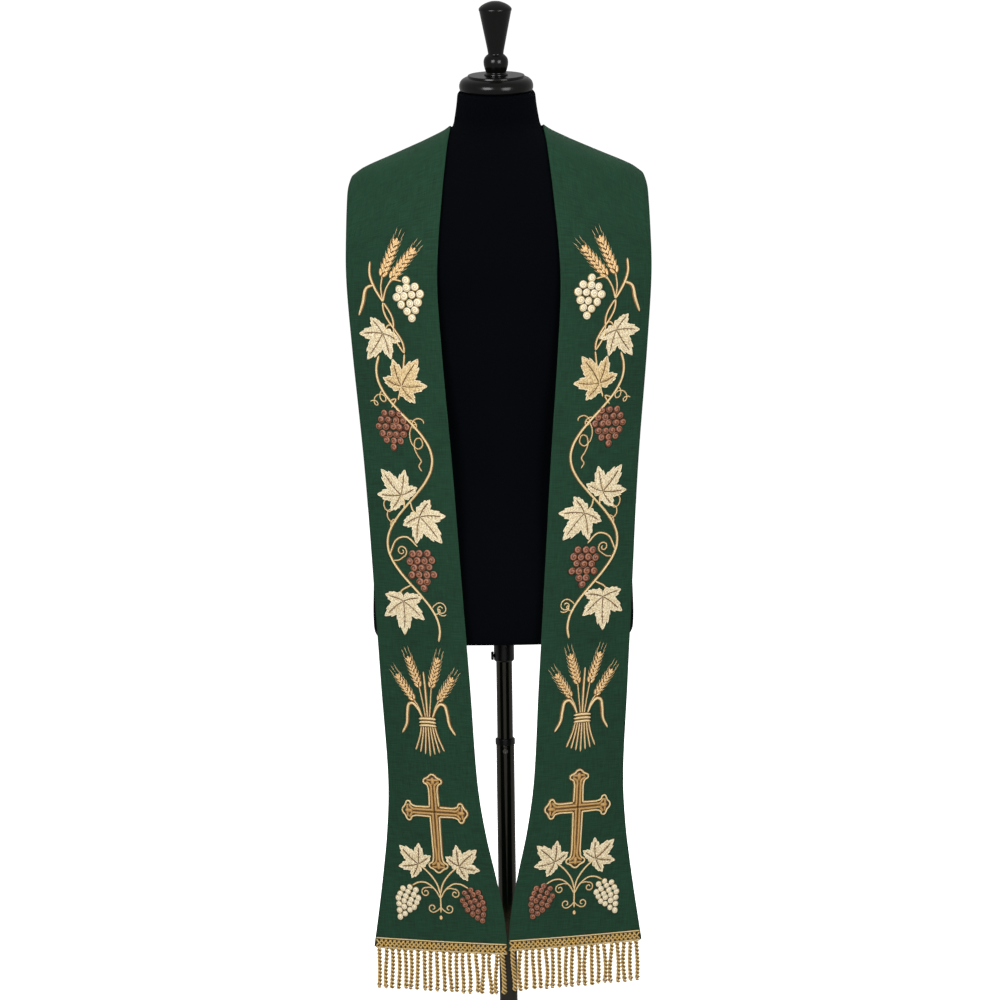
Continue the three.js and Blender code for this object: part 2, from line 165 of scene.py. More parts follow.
@dataclass(frozen=True)
class Cloth:
    """Closely woven cloth with slubs, in a warp and a weft along its UV map."""

    name: str
    light: str
    dark: str
    threads_per_metre: float = 1250.0

    def build(self) -> bpy.types.Material:
        """Make the material."""
        sheet = NodeSheet(self.name)
        uv = sheet.stitch_uv()
        weft = sheet.noise(sheet.stretched(uv, (48, 900, 1)), 1.0, 2)
        warp = sheet.noise(sheet.stretched(uv, (900, 42, 1)), 1.0, 2)
        weft_share, warp_share = sheet.sum_of("MULTIPLY", weft, 0.55), sheet.sum_of("MULTIPLY", warp, 0.45)
        slubs = sheet.sum_of("ADD", weft_share, warp_share)
        patches = sheet.noise(uv, 14.0, 2)
        share = sheet.between(sheet.sum_of("MULTIPLY_ADD", patches, 0.2, slubs), 0.32, 0.9)
        parts = sheet.add("SeparateXYZ", {0: uv})
        turns = self.threads_per_metre * math.tau
        across = sheet.sum_of("SINE", sheet.sum_of("MULTIPLY", parts.outputs[0], turns))
        along = sheet.sum_of("SINE", sheet.sum_of("MULTIPLY", parts.outputs[1], turns))
        weave = sheet.sum_of("MULTIPLY", across, along)
        height = sheet.sum_of("MULTIPLY_ADD", slubs, 3.0, sheet.sum_of("MULTIPLY", weave, 0.5))
        sheet.raise_surface(height, 0.00014)
        colour = sheet.blend(share, paint(self.dark), paint(self.light))
        sheet.fill(sheet.shader, {
            "Base Color": colour, "Roughness": 0.72, "Specular IOR Level": 0.18,
            "Sheen Weight": 0.08, "Sheen Roughness": 0.4, "Sheen Tint": paint("8FB497"),
        })
        return sheet.material


@dataclass(frozen=True)
class Jersey:
    """Black stretch cloth, knitted in fine upright ribs."""

    name: str
    colour: str
    ribs_per_metre: float = 900.0

    def build(self) -> bpy.types.Material:
        """Make the material."""
        sheet = NodeSheet(self.name)
        uv = sheet.stitch_uv()
        parts = sheet.add("SeparateXYZ", {0: uv})
        turns = self.ribs_per_metre * math.tau
        rib = sheet.sum_of("SINE", sheet.sum_of("MULTIPLY", parts.outputs[0], turns))
        loop = sheet.sum_of("SINE", sheet.sum_of("MULTIPLY", parts.outputs[1], turns * 0.7))
        fuzz = sheet.noise(sheet.place(), 700.0, 2)
        height = sheet.sum_of("MULTIPLY_ADD", fuzz, 1.4, sheet.sum_of("MULTIPLY_ADD", loop, 0.3, rib))
        sheet.raise_surface(height, 0.00008)
        worn = sheet.noise(sheet.place(), 6.0, 3)
        colour = sheet.blend(worn, paint(self.colour), paint("05070B"))
        sheet.fill(sheet.shader, {
            "Base Color": colour, "Roughness": 0.9, "Specular IOR Level": 0.03,
            "Sheen Weight": 0.012, "Sheen Roughness": 0.5, "Sheen Tint": paint("5A6C92"),
        })
        return sheet.material


@dataclass(frozen=True)
class Lacquer:
    """Gloss lacquer on turned wood, with a faint unevenness in its film."""

    name: str
    colour: str

    def build(self) -> bpy.types.Material:
        """Make the material."""
        sheet = NodeSheet(self.name)
        place = sheet.place()
        grain = sheet.noise(sheet.stretched(place, (260, 260, 40)), 1.0, 3)
        dust = sheet.noise(place, 900.0, 2)
        sheet.raise_surface(sheet.sum_of("MULTIPLY_ADD", dust, 0.2, grain), 0.00001)
        rough = sheet.sum_of("MULTIPLY_ADD", sheet.between(dust, 0.55, 0.75), 0.06, 0.2)
        colour = sheet.blend(grain, paint(self.colour), paint("0B0A09"))
        sheet.fill(sheet.shader, {
            "Base Color": colour, "Roughness": rough, "Specular IOR Level": 0.3,
        })
        return sheet.material


@dataclass(frozen=True)
class Metal:
    """Painted or plated metal, with a fine grain along one axis and light handling marks."""

    name: str
    colour: str
    worn: str
    metallic: float
    roughness: float
    grain: tuple

    def build(self) -> bpy.types.Material:
        """Make the material."""
        sheet = NodeSheet(self.name)
        place = sheet.place()
        grain = sheet.noise(sheet.stretched(place, self.grain), 1.0, 3)
        marks = sheet.between(sheet.noise(place, 34.0, 4), 0.5, 0.8)
        rough = sheet.sum_of("MULTIPLY_ADD", marks, 0.12, self.roughness)
        sheet.raise_surface(grain, 0.00003)
        colour = sheet.blend(sheet.sum_of("MULTIPLY", marks, 0.5), paint(self.colour), paint(self.worn))
        sheet.fill(sheet.shader, {"Base Color": colour, "Metallic": self.metallic, "Roughness": rough})
        return sheet.material


@dataclass(frozen=True)
class Thread:
    """Shiny embroidery thread laid in close slanting stitches along the piece's UV map.

    The map's U is the way along and its V the way round, in millimetres. Where round is above
    nought, the sides and underside of a cord that is round to a turn of V are drawn in the darker
    edge colour by which way they face: painted shade, which on the embroidered cords also stands
    for their darker outline.
    """

    name: str
    light: str
    dark: str
    # the colour of a round cord's painted shade on its sides; on the embroidered cords it also stands for
    # their darker outline
    edge: str
    pitch: float = 1.3
    slant: float = 0.9
    round: float = 0.0
    depth: float = 0.00016
    specks: float = 0.3
    painted_shade_from: float = 0.25  # the sine of the turn below which a round cord is in its edge colour, its painted shade

    def build(self) -> bpy.types.Material:
        """Make the material."""
        sheet = NodeSheet(self.name)
        parts = sheet.add("SeparateXYZ", {0: sheet.stitch_uv()})
        along = sheet.sum_of("MULTIPLY", parts.outputs[0], math.tau / self.pitch)
        slanted = sheet.sum_of("MULTIPLY_ADD", parts.outputs[1], self.slant * math.tau / self.pitch, along)
        uneven = sheet.noise(sheet.place(), 420.0, 2)
        wave = sheet.sum_of("SINE", sheet.sum_of("MULTIPLY_ADD", uneven, 3.0, slanted))
        stitch = sheet.between(wave, -0.9, 0.7)
        speckle = sheet.between(sheet.noise(sheet.place(), 620.0, 1), 0.42, 0.56)
        lit = sheet.sum_of("MULTIPLY_ADD", stitch, 0.45, 0.55)
        speckled = sheet.sum_of("MULTIPLY_ADD", speckle, self.specks, 1 - self.specks)
        share = sheet.sum_of("MULTIPLY", lit, speckled)
        colour = sheet.blend(share, paint(self.dark), paint(self.light))
        # painted shade: the sides and underside of a round cord turn to the edge colour by which way they
        # face round it
        if self.round:
            turn = sheet.sum_of("MULTIPLY", parts.outputs[1], math.tau / self.round)
            side = sheet.between(sheet.sum_of("SINE", turn), self.painted_shade_from, self.painted_shade_from + 0.45)
            colour = sheet.blend(side, paint(self.edge), colour)
        sheet.raise_surface(stitch, self.depth)
        sheet.fill(sheet.shader, {
            "Base Color": colour, "Roughness": 0.42, "Specular IOR Level": 0.45,
            "Sheen Weight": 0.15, "Sheen Roughness": 0.35, "Sheen Tint": paint(self.light),
        })
        return sheet.material


@dataclass(frozen=True)
class Berry:
    """A grape's round of stitches: a coil of thread inside a darker outline.

    The UV map is nought at the grape's middle and one away from it at its edge.
    """

    name: str
    light: str
    dark: str
    edge: str
    coils: float = 2.2
    rim: float = 0.7

    def build(self) -> bpy.types.Material:
        """Make the material."""
        sheet = NodeSheet(self.name)
        uv = sheet.stitch_uv()
        parts = sheet.add("SeparateXYZ", {0: uv})
        away = sheet.add("VectorMath", {0: uv}, operation="LENGTH").outputs["Value"]
        angle = sheet.sum_of("ARCTAN2", parts.outputs[1], parts.outputs[0])
        coil = sheet.sum_of("SINE", sheet.sum_of("MULTIPLY_ADD", away, self.coils * math.tau, angle))
        stitch = sheet.between(coil, -0.7, 0.8)
        speckle = sheet.noise(sheet.place(), 500.0, 2)
        share = sheet.sum_of("MULTIPLY", stitch, sheet.sum_of("MULTIPLY_ADD", speckle, 0.8, 0.4))
        fill = sheet.blend(share, paint(self.dark), paint(self.light))
        rim = sheet.between(away, self.rim, self.rim + 0.16)
        sheet.raise_surface(sheet.sum_of("SUBTRACT", stitch, rim), 0.0002)
        sheet.fill(sheet.shader, {
            "Base Color": sheet.blend(rim, fill, paint(self.edge)), "Roughness": 0.45,
            "Specular IOR Level": 0.4, "Sheen Weight": 0.12, "Sheen Tint": paint(self.light),
        })
        return sheet.material


class Finish:
    """The finishes of the object."""

    STOLE = Cloth("green_slubbed_cloth", light="1D4530", dark="10291A")
    JERSEY = Jersey("black_jersey", colour="020305")
    LACQUER = Lacquer("black_lacquer", colour="040404")
    BLACK_METAL = Metal("black_painted_metal", "080808", "161514", 0.1, 0.34, (300, 300, 300))
    DARK_CHROME = Metal("dark_chrome", "4A4842", "2E2C28", 1.0, 0.17, (60, 60, 900))
    GREY_SCREW = Metal("grey_screw", "6E6B64", "3C3A36", 1.0, 0.3, (200, 900, 200))
    GOLD_CORD = Thread("gold_cord", "F0D9A6", "C8A063", "6E4A20", round=6.0)
    DARK_CORD = Thread("dark_cord", "8C6432", "5C3D1B", "3A2610")
    PALE_OUTLINE = Thread("pale_outline", "FFF5D6", "E6CC96", "8A6A3C", pitch=1.1, round=6.0)
    CREAM_FILL = Thread("cream_fill", "FFF4D2", "AA8644", "7A5A30", pitch=1.5, specks=0.6)
    HONEY_FILL = Thread("honey_fill", "FAE2AC", "9C7236", "6B4A24", pitch=1.5, specks=0.65)
    GOLD_FILL = Thread("gold_fill", "CDA362", "85602F", "4E3418", pitch=1.6, round=6.0, painted_shade_from=0.1)
    VEIN = Thread("brown_vein", "7A5528", "54381A", "3A2610", pitch=1.0)
    PALE_GRAPE = Berry("pale_grape", "FDF6E2", "CBB684", "80602F", rim=0.78)
    BROWN_GRAPE = Berry("brown_grape", "AE7456", "5C3324", "2A140C", coils=1.5, rim=0.78)
    WHEAT = Berry("wheat_gold", "FFE4B0", "CC9752", "6B4520", coils=1.2, rim=0.72)
    # the plait's cords are near black on their sides: painted shade between the plaits
    BRAID = Thread("braid_gold", "EDC673", "A0702A", "1E1206", pitch=1.5, round=6.0,
                   depth=0.0003, painted_shade_from=0.5)
    BRAID_GROUND = Thread("braid_ground", "3A2810", "1C1206", "140C04", pitch=1.2)
    BRAID_EDGE = Thread("braid_edge", "F0DCA8", "B88D4A", "7A5427", pitch=1.3)
    # its plies are dark where they face each other: painted shade in the crevice of the twist
    FRINGE = Thread("fringe_gold", "EFCD86", "AE7C34", "523510", pitch=1.15, slant=0.75, round=11.94,
                    depth=0.0003, painted_shade_from=-0.45)


@functools.cache
def material_of(finish: object) -> bpy.types.Material:
    """A finish's material, made once."""
    return finish.build()


# ---------------------------------------------------------------- mesh helpers


class Shape:
    """A mesh in the making, in millimetres, with the UV map that its finish reads."""

    def __init__(self) -> None:
        """Start an empty mesh."""
        self.bm = bmesh.new()
        self.uv = self.bm.loops.layers.uv.new("stitch")

    def add_grid(self, points: np.ndarray, uvs: np.ndarray) -> list:
        """Add a net of quads and join its points that fall together.

        Args:
            points: The net's points, as rows, columns and three parts.
            uvs: Their places on the UV map.

        Returns:
            The vertices that are left.
        """
        rows, columns = points.shape[:2]
        made = bmesh.ops.create_grid(self.bm, x_segments=columns - 1, y_segments=rows - 1, size=1.0)["verts"]
        places, spots = points.reshape(-1, 3).tolist(), uvs.reshape(-1, 2).tolist()
        spot_of = {}
        for vertex, place, spot in zip(made, places, spots):
            vertex.co = place
            spot_of[vertex] = spot
        for face in {face for vertex in made for face in vertex.link_faces}:
            for loop in face.loops:
                loop[self.uv].uv = spot_of[loop.vert]
        bmesh.ops.remove_doubles(self.bm, verts=made, dist=MERGE)
        return [vertex for vertex in made if vertex.is_valid]

    def add_ball(self, matrix: Matrix, segments: int, rings: int, across: float = 1.0,
                 under: float = 1.0) -> None:
        """Add a ball that a matrix stretches and puts in place.

        Args:
            matrix: Takes the ball of radius one to its place.
            segments: Its sides round.
            rings: Its steps from pole to pole.
            across: What its radius counts for on the UV map.
            under: How deep its lower half is, as a share of a whole one.
        """
        made = bmesh.ops.create_uvsphere(self.bm, u_segments=segments, v_segments=rings, radius=1.0)["verts"]
        for vertex in made:
            vertex.co.z *= 1.0 if vertex.co.z > 0 else under
        for face in {face for vertex in made for face in vertex.link_faces}:
            for loop in face.loops:
                loop[self.uv].uv = loop.vert.co.xy * across
        bmesh.ops.transform(self.bm, matrix=matrix, verts=made)

    def turned(self, profile: list, steps: int = 72) -> None:
        """Turn a profile about the Z axis.

        Args:
            profile: [radius, height] pairs that start and end on the axis, or close.
            steps: The facets round.
        """
        verts = [self.bm.verts.new((radius, 0, height)) for radius, height in profile]
        edges = [self.bm.edges.new(pair) for pair in zip(verts, verts[1:])]
        bmesh.ops.spin(self.bm, geom=verts + edges, cent=(0, 0, 0), axis=(0, 0, 1), angle=math.tau,
                       steps=steps, use_merge=True)
        bmesh.ops.remove_doubles(self.bm, verts=self.bm.verts, dist=MERGE)

    def move(self, matrix: Matrix) -> None:
        """Put the whole mesh through a matrix."""
        bmesh.ops.transform(self.bm, matrix=matrix, verts=self.bm.verts)

    def finish(self, name: str, body: str, finish: object, sharp: float | None = None) -> bpy.types.Object:
        """Make the shape a shown piece, in metres.

        Args:
            name: The piece's name.
            body: The body that it moves with.
            finish: What it is made of.
            sharp: The angle in degrees from which an edge is drawn sharp.

        Returns:
            The piece.
        """
        bmesh.ops.recalc_face_normals(self.bm, faces=self.bm.faces)
        bmesh.ops.scale(self.bm, vec=(MM, MM, MM), verts=self.bm.verts)
        mesh = bpy.data.meshes.new(name)
        self.bm.to_mesh(mesh)
        self.bm.free()
        mesh.shade_smooth()
        if sharp is not None:
            mesh.set_sharp_from_angle(angle=math.radians(sharp))
        mesh.materials.append(material_of(finish))
        piece = bpy.data.objects.new(name, mesh)
        bpy.context.scene.collection.objects.link(piece)
        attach(piece, body)
        log.info("%s: %d faces", name, len(mesh.polygons))
        return piece


def rounded(profile: list, radius: float, steps: int = 4) -> list:
    """A profile with its inner corners rounded.

    Args:
        profile: [radius, height] pairs.
        radius: How far from a corner its round starts, at most a third of the way to the next one.
        steps: The points that each round has after its first.

    Returns:
        The profile's new pairs.
    """
    result = [Vector(profile[0])]
    for before, corner, after in zip(profile, profile[1:], profile[2:]):
        corner = Vector(corner)
        back, on = Vector(before) - corner, Vector(after) - corner
        start = corner + back * min(radius / back.length, 0.34)
        end = corner + on * min(radius / on.length, 0.34)
        for k in range(steps + 1):
            t = k / steps
            result.append(start * (1 - t) ** 2 + corner * 2 * t * (1 - t) + end * t * t)
    return [*result, Vector(profile[-1])]


def through(points: list, shares: np.ndarray) -> np.ndarray:
    """Points on a smooth centripetal curve through others.

    Args:
        points: The points it passes through, of two or three parts.
        shares: Where along it, from nought to one, each stretch counting the same.

    Returns:
        A point for each share.
    """
    known = np.array(points, float)
    known = np.vstack([2 * known[0] - known[1], known, 2 * known[-1] - known[-2]])
    stretches = len(points) - 1
    place = np.clip(np.asarray(shares, float), 0, 1) * stretches
    index = np.minimum(place.astype(int), stretches - 1)
    t = (place - index)[:, None]
    p0, p1, p2, p3 = (known[index + k] for k in range(4))
    gaps = [np.sqrt(np.linalg.norm(b - a, axis=1))[:, None] for a, b in ((p0, p1), (p1, p2), (p2, p3))]
    d0, d1, d2 = (np.maximum(gap, 1e-4) for gap in gaps)
    m1 = ((p1 - p0) / d0 - (p2 - p0) / (d0 + d1) + (p2 - p1) / d1) * d1
    m2 = ((p2 - p1) / d1 - (p3 - p1) / (d1 + d2) + (p3 - p2) / d2) * d1
    c2, c3 = -3 * p1 + 3 * p2 - 2 * m1 - m2, 2 * p1 - 2 * p2 + m1 + m2
    return p1 + m1 * t + c2 * t**2 + c3 * t**3


def lengths_along(path: np.ndarray) -> np.ndarray:
    """How far along a path each of its points is."""
    return np.concatenate([[0], np.cumsum(np.linalg.norm(np.diff(path, axis=0), axis=1))])


def bearing(angle: float) -> tuple[np.ndarray, np.ndarray]:
    """The unit vectors along a direction on the flat pattern and to its right.

    Args:
        angle: The direction, in radians from straight up towards the outer edge.

    Returns:
        The way along it and the way to its side.
    """
    way = np.array([math.sin(angle), math.cos(angle)])
    return way, np.array([way[1], -way[0]])


def route(points: list, step: float = 2.0) -> np.ndarray:
    """A smooth path through points, with its own points about step apart."""
    rough = through(points, np.linspace(0, 1, 24 * len(points)))
    along = lengths_along(rough)
    at = np.linspace(0, along[-1], max(4, round(along[-1] / step)))
    return np.stack([np.interp(at, along, rough[:, k]) for k in range(rough.shape[1])], axis=1)


# ---------------------------------------------------------------- torso


class TorsoShape:
    """The form of the padded torso: horizontal sections that a table gives, eased between its rows."""

    BOTTOM, NECK_TOP_Y, NECK_TOP_Z = 753.0, -2.0, 1493.0
    NECK_LEAN, LEAN_FROM = math.radians(11.5), 1447.0
    # z, half the width, depth in front, depth behind, centre along Y, fullness of the corners
    SECTIONS = np.array([
        (753, 170, 97, 107, 0, 2.4), (757, 175, 102, 112, 0, 2.4), (766, 178, 104, 115, 0, 2.4),
        (800, 178.5, 106, 118, 0, 2.35), (870, 174, 105, 116, 0, 2.3), (970, 153, 95, 96, 0, 2.2),
        (1060, 154, 99, 96, 0, 2.2), (1160, 165, 111, 104, 0, 2.2), (1250, 179, 114, 110, 0, 2.2),
        (1310, 189, 107, 109, 1, 2.1), (1345, 194.5, 97, 101, 2, 2), (1366, 195.5, 90, 94, 3, 1.95),
        (1377, 193, 85, 90, 3, 1.9), (1385, 187, 81, 86, 4, 1.85), (1392, 176, 78, 83, 4, 1.85),
        (1408, 137, 71, 76, 4, 1.9), (1424, 99.5, 63, 69, 5, 2), (1433, 81, 58, 65, 5, 2),
        (1440, 68, 55, 61, 4, 2), (1447, 60, 53, 58, 3, 2), (1461, 56.5, 53, 54, 1, 2),
        (1478, 53.8, 52.5, 52.5, -1, 2), (1490, 52.4, 51.8, 51.8, -2, 2), (1493, 50.4, 49.8, 49.8, -2, 2),
    ])
    TABLE_STEP = 0.5

    def __init__(self) -> None:
        """Work the sections out at every small step of height."""
        self.heights = np.arange(self.BOTTOM, self.NECK_TOP_Z + self.TABLE_STEP / 2, self.TABLE_STEP)
        z, values = self.SECTIONS[:, 0], self.SECTIONS[:, 1:]
        ahead, behind = np.minimum(np.arange(len(z)) + 1, len(z) - 1), np.maximum(np.arange(len(z)) - 1, 0)
        slopes = (values[ahead] - values[behind]) / (z[ahead] - z[behind])[:, None]
        index = np.clip(np.searchsorted(z, self.heights, side="left") - 1, 0, len(z) - 2)
        gap = (z[index + 1] - z[index])[:, None]
        t = (self.heights - z[index])[:, None] / gap
        a, b, ta, tb = values[index], values[index + 1], slopes[index] * gap, slopes[index + 1] * gap
        self.table = a + ta * t + (3 * (b - a) - 2 * ta - tb) * t**2 + (2 * (a - b) + ta + tb) * t**3

    def section(self, z: np.ndarray) -> list[np.ndarray]:
        """The half width, two depths, centre and fullness at heights."""
        return [np.interp(z, self.heights, column) for column in self.table.T]

    def lean(self, z: np.ndarray) -> np.ndarray:
        """How much further up the back of the neck is than its axis, for each millimetre back."""
        t = np.clip((z - self.LEAN_FROM) / (self.NECK_TOP_Z - self.LEAN_FROM), 0, 1)
        return math.tan(self.NECK_LEAN) * t * t * (3 - 2 * t)

    def points(self, z: np.ndarray, angles: np.ndarray) -> np.ndarray:
        """The points of the sections at heights, at angles round them."""
        half, front, back, centre, square = (part[:, None] for part in self.section(z))
        c, d = np.cos(angles)[None, :], np.sin(angles)[None, :]
        x = half * np.sign(c) * np.abs(c) ** (2 / square)
        y = np.where(d < 0, front, back) * np.sign(d) * np.abs(d) ** (2 / square)
        return np.stack([x, centre + y, z[:, None] + self.lean(z)[:, None] * y], axis=2)

    def level(self, p: np.ndarray) -> np.ndarray:
        """Nought on the torso's surface and more outside it, at points below the neck."""
        half, front, back, centre, square = self.section(p[..., 2])
        away = p[..., 1] - centre
        depth = np.where(away < 0, front, back)
        return ((np.abs(p[..., 0]) / half) ** square + (np.abs(away) / depth) ** square) ** (1 / square) - 1

    def gap(self, p: np.ndarray) -> tuple[np.ndarray, np.ndarray]:
        """How far points are outside the torso, and which way is out.

        Args:
            p: The points, in an array whose last axis is X, Y and Z.

        Returns:
            The distances, and unit vectors in the same arrangement as the points.
        """
        step = 0.5
        slope = np.stack([
            (self.level(p + step * axis) - self.level(p - step * axis)) / (2 * step) for axis in np.eye(3)
        ], axis=-1)
        size = np.linalg.norm(slope, axis=-1)
        return self.level(p) / size, slope / size[..., None]


@dataclass
class DressForm:
    """The torso, its neck cap and finial."""

    shape: TorsoShape
    sides: int = 128
    ring_step: float = 5.0
    bore: float = 12.0
    bore_depth: float = 240.0
    # Parts of the profiles, each a smooth curve through [radius, height] pairs above the neck's top
    cap_rise: tuple = (
        ((0, 0.5), (45.5, 0.5)),
        ((46.5, 0.5), (49.2, 3), (50, 7.4), (49.2, 12), (46.6, 15.9), (42.4, 18.5), (38.7, 19.5)),
        ((38.5, 19.8), (38.4, 21.4)), ((38, 22), (37.4, 22.2)), ((36, 22.2), (0, 22.2)),
    )
    finial_rise: tuple = (
        ((0, 22.5), (15.6, 22.5)), ((16, 22.8), (16, 23.6), (14.4, 24.4), (13.4, 25.6)),
        ((13.5, 26.2), (14.9, 30), (16.2, 35), (16.6, 40), (15.6, 44.5), (13, 48), (10.8, 49.8)),
        ((10.4, 50.6), (10.7, 53), (14.2, 71), (21.4, 107.0)),
        ((22.1, 108.6), (22.2, 110), (21.2, 112), (18, 114.9), (12.6, 117.9), (6.4, 120), (0, 120.6)),
    )

    def build(self) -> None:
        """Build and dress every piece of it."""
        self.build_torso()
        tip = Matrix.Translation((0, self.shape.NECK_TOP_Y, self.shape.NECK_TOP_Z))
        tip = tip @ Matrix.Rotation(self.shape.NECK_LEAN, 4, "X")
        for name, profile, node in (
            ("cap_gloss", self.cap_rise, "neck_cap"), ("finial_gloss", self.finial_rise, "finial"),
        ):
            shape = Shape()
            shape.turned([tuple(p) for part in profile for p in self.curve(part)])
            shape.move(tip)
            piece = shape.finish(name, "form", Finish.LACQUER, sharp=48)
            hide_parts(node)

    @staticmethod
    def curve(part: tuple) -> list:
        """A part of a profile, as a straight line or a smooth curve with points close together."""
        return list(part) if len(part) == 2 else route(list(part), 0.9).tolist()

    def build_torso(self) -> None:
        """The jersey-covered torso, closed below and above, with its bore."""
        z = np.unique(np.concatenate([
            np.arange(self.shape.BOTTOM, self.shape.NECK_TOP_Z, self.ring_step),
            self.shape.SECTIONS[:3, 0], self.shape.SECTIONS[-2:, 0], [755.0, 761.0, 1491.8],
        ]))
        angles = np.linspace(0, math.tau, self.sides + 1)
        rings = self.shape.points(z, angles)
        rings[:, -1] = rings[:, 0]
        floor, top = rings[0], rings[-1]
        circle = np.stack([np.cos(angles), np.sin(angles), 0 * angles], axis=1)
        low = self.bore * circle + (0, 0, self.shape.BOTTOM)
        inner_top = low + (0, 0, self.bore_depth)
        centre = np.array([0, self.shape.NECK_TOP_Y, self.shape.NECK_TOP_Z])
        under = [0 * low + inner_top.mean(axis=0), inner_top, low, (floor + low) / 2]
        over = [(top + centre) / 2, 0 * top + centre]
        points = np.concatenate([np.array(under), rings, np.array(over)])
        steps = np.linalg.norm(np.diff(points, axis=0), axis=2).mean(axis=1)
        along = np.concatenate([[0], np.cumsum(steps)])
        u = np.linspace(0, 1.1, len(angles))
        uvs = np.stack(np.broadcast_arrays(u[None, :], along[:, None] * MM), axis=2)
        shape = Shape()
        shape.add_grid(points, uvs)
        piece = shape.finish("torso_jersey", "form", Finish.JERSEY, sharp=60)
        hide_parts("torso")


# ---------------------------------------------------------------- the stole's cloth


@dataclass(frozen=True)
class Line:
    """A line across the left half of the stole, on the inside of the cloth.

    neck and outer are its ends, rest says how closely each of them lies on the torso, and bow
    how far its middle stands out.
    """

    neck: tuple
    outer: tuple
    rest: tuple = (0, 0)
    bow: float = 0


class Panel:
    """One half of the stole as a surface, from the seam behind the neck to the hem."""

    WALL, CLEAR, SOFTNESS, EDGE_X = 2.0, 2.0, 4.0, 0.15
    HEM_Z, CHEST_Z, RIGHT_DROP = 341.0, 1245.0, 5.0
    COLUMNS, ROW_STEP = 36, 5.0
    FRONT_TOP = 1330.0  # the highest level at which every column is in front
    FRONT_FROM = 6  # the line from which the cloth is in front of the shoulder
    LINES = (
        Line((EDGE_X, 80, 1434), (EDGE_X, 114, 1290), (1, 1)),
        Line((34, 74, 1438), (60, 114, 1303), (1, 1)),
        Line((55, 54, 1443), (132, 94, 1335), (1, 1)),
        Line((61, 27, 1446), (184, 38, 1374), (1, 1)),
        Line((62, 4, 1446), (194, 6, 1384), (1, 0.5)),
        Line((63.5, -22, 1441), (199.5, -22, 1366), (1, 0)),
        Line((68, -57, 1412), (201, -42, 1342), (0.8, 0), 1),
        Line((74, -89, 1355), (202, -53, 1308), (0.4, 0), 2),
        Line((81.5, -111, 1245), (202.5, -60, 1250), bow=3),
        Line((77, -113, 1150), (196, -62, 1150), bow=3),
        Line((66, -113.5, 1000), (183, -63.5, 1000), bow=3),
        Line((56, -114, 850), (174, -65, 850), bow=2.5),
        Line((46, -114, 700), (165.5, -66.5, 700), bow=2),
        Line((37.5, -114.5, 565), (158, -68, 565), bow=2),
        Line((27.5, -114.7, 500), (161, -68.5, 500), bow=2),
        Line((16.5, -114.8, 450), (166.5, -69, 450), bow=2),
        Line((6.5, -115, 400), (173, -69.5, 400), bow=2),
        Line((EDGE_X, -115, HEM_Z), (181.5, -70, HEM_Z), bow=2),
    )

    def __init__(self, torso: TorsoShape, side: Side) -> None:
        """Lay the half over the torso.

        Args:
            torso: What it lies on.
            side: Which half it is.
        """
        self.torso, self.side = torso, side
        self.drop = self.RIGHT_DROP if side is Side.RIGHT else 0.0
        self.inside = self._settled(self._surface(self._rows()))
        self.inside[:, :, 2] = self.dropped(self.inside[:, :, 2])
        self.normals = self._normals(self.inside)
        self._make_front()

    def _rows(self) -> np.ndarray:
        """Where along the table's lines each row of the net lies."""
        middles = [(np.array(line.neck) + np.array(line.outer)) / 2 for line in self.LINES]
        places = [
            index + np.arange(steps) / steps
            for index, (a, b) in enumerate(zip(middles, middles[1:]))
            for steps in [max(2, round(float(np.linalg.norm(b - a)) / self.ROW_STEP))]
        ]
        return np.concatenate([*places, [len(self.LINES) - 1]])

    def _surface(self, u: np.ndarray) -> np.ndarray:
        """The left half's inside points at places along the table, in rows from neck to outer edge."""
        shares = u / (len(self.LINES) - 1)
        neck = through([line.neck for line in self.LINES], shares)[:, None, :]
        outer = through([line.outer for line in self.LINES], shares)[:, None, :]
        t = np.linspace(0, 1, self.COLUMNS + 1)[None, :, None]
        lines = np.arange(len(self.LINES))
        bow = np.interp(u, lines, [line.bow for line in self.LINES])[:, None, None]
        rest = [np.interp(u, lines, [line.rest[k] for line in self.LINES])[:, None] for k in (0, 1)]
        across = outer - neck
        sideways = np.concatenate([across[..., 1:2], -across[..., 0:1], 0 * across[..., 2:3]], axis=2)
        sideways /= np.linalg.norm(sideways, axis=2, keepdims=True)
        p = neck + across * t + sideways * bow * 4 * t * (1 - t)
        gap, out = self.torso.gap(p)
        short = self.CLEAR - gap
        stood = (short + np.hypot(short, self.SOFTNESS)) / 2
        weight = rest[0] + (rest[1] - rest[0]) * t[..., 0]
        return p + out * (stood + (short - stood) * weight)[..., None]

    def _settled(self, p: np.ndarray) -> np.ndarray:
        """The net smoothed over the shoulder and lifted clear of the torso again."""
        for _ in range(3):
            mean = p.copy()
            mean[1:-1] = (p[:-2] + 2 * p[1:-1] + p[2:]) / 4
            mean[:, 1:-1] = (mean[:, :-2] + 2 * mean[:, 1:-1] + mean[:, 2:]) / 4
            mean[0], mean[-1] = p[0], p[-1]
            share = np.clip((p[..., 2:3] - 1180) / 80, 0, 1)
            p = p + (mean - p) * share
        gap, out = self.torso.gap(p)
        p = p + out * np.maximum(self.CLEAR - gap, 0)[..., None]
        p[0, :, 0] = self.EDGE_X
        return p

    def dropped(self, z: np.ndarray) -> np.ndarray:
        """Heights, lowered as much as this half hangs lower there."""
        return z - self.drop * np.maximum(0, (self.CHEST_Z - z) / (self.CHEST_Z - self.HEM_Z))

    @staticmethod
    def _normals(p: np.ndarray) -> np.ndarray:
        """The outward unit normals of a net whose rows run down and whose columns run outwards."""
        cross = np.cross(np.gradient(p, axis=0), np.gradient(p, axis=1))
        return cross / np.linalg.norm(cross, axis=2, keepdims=True)

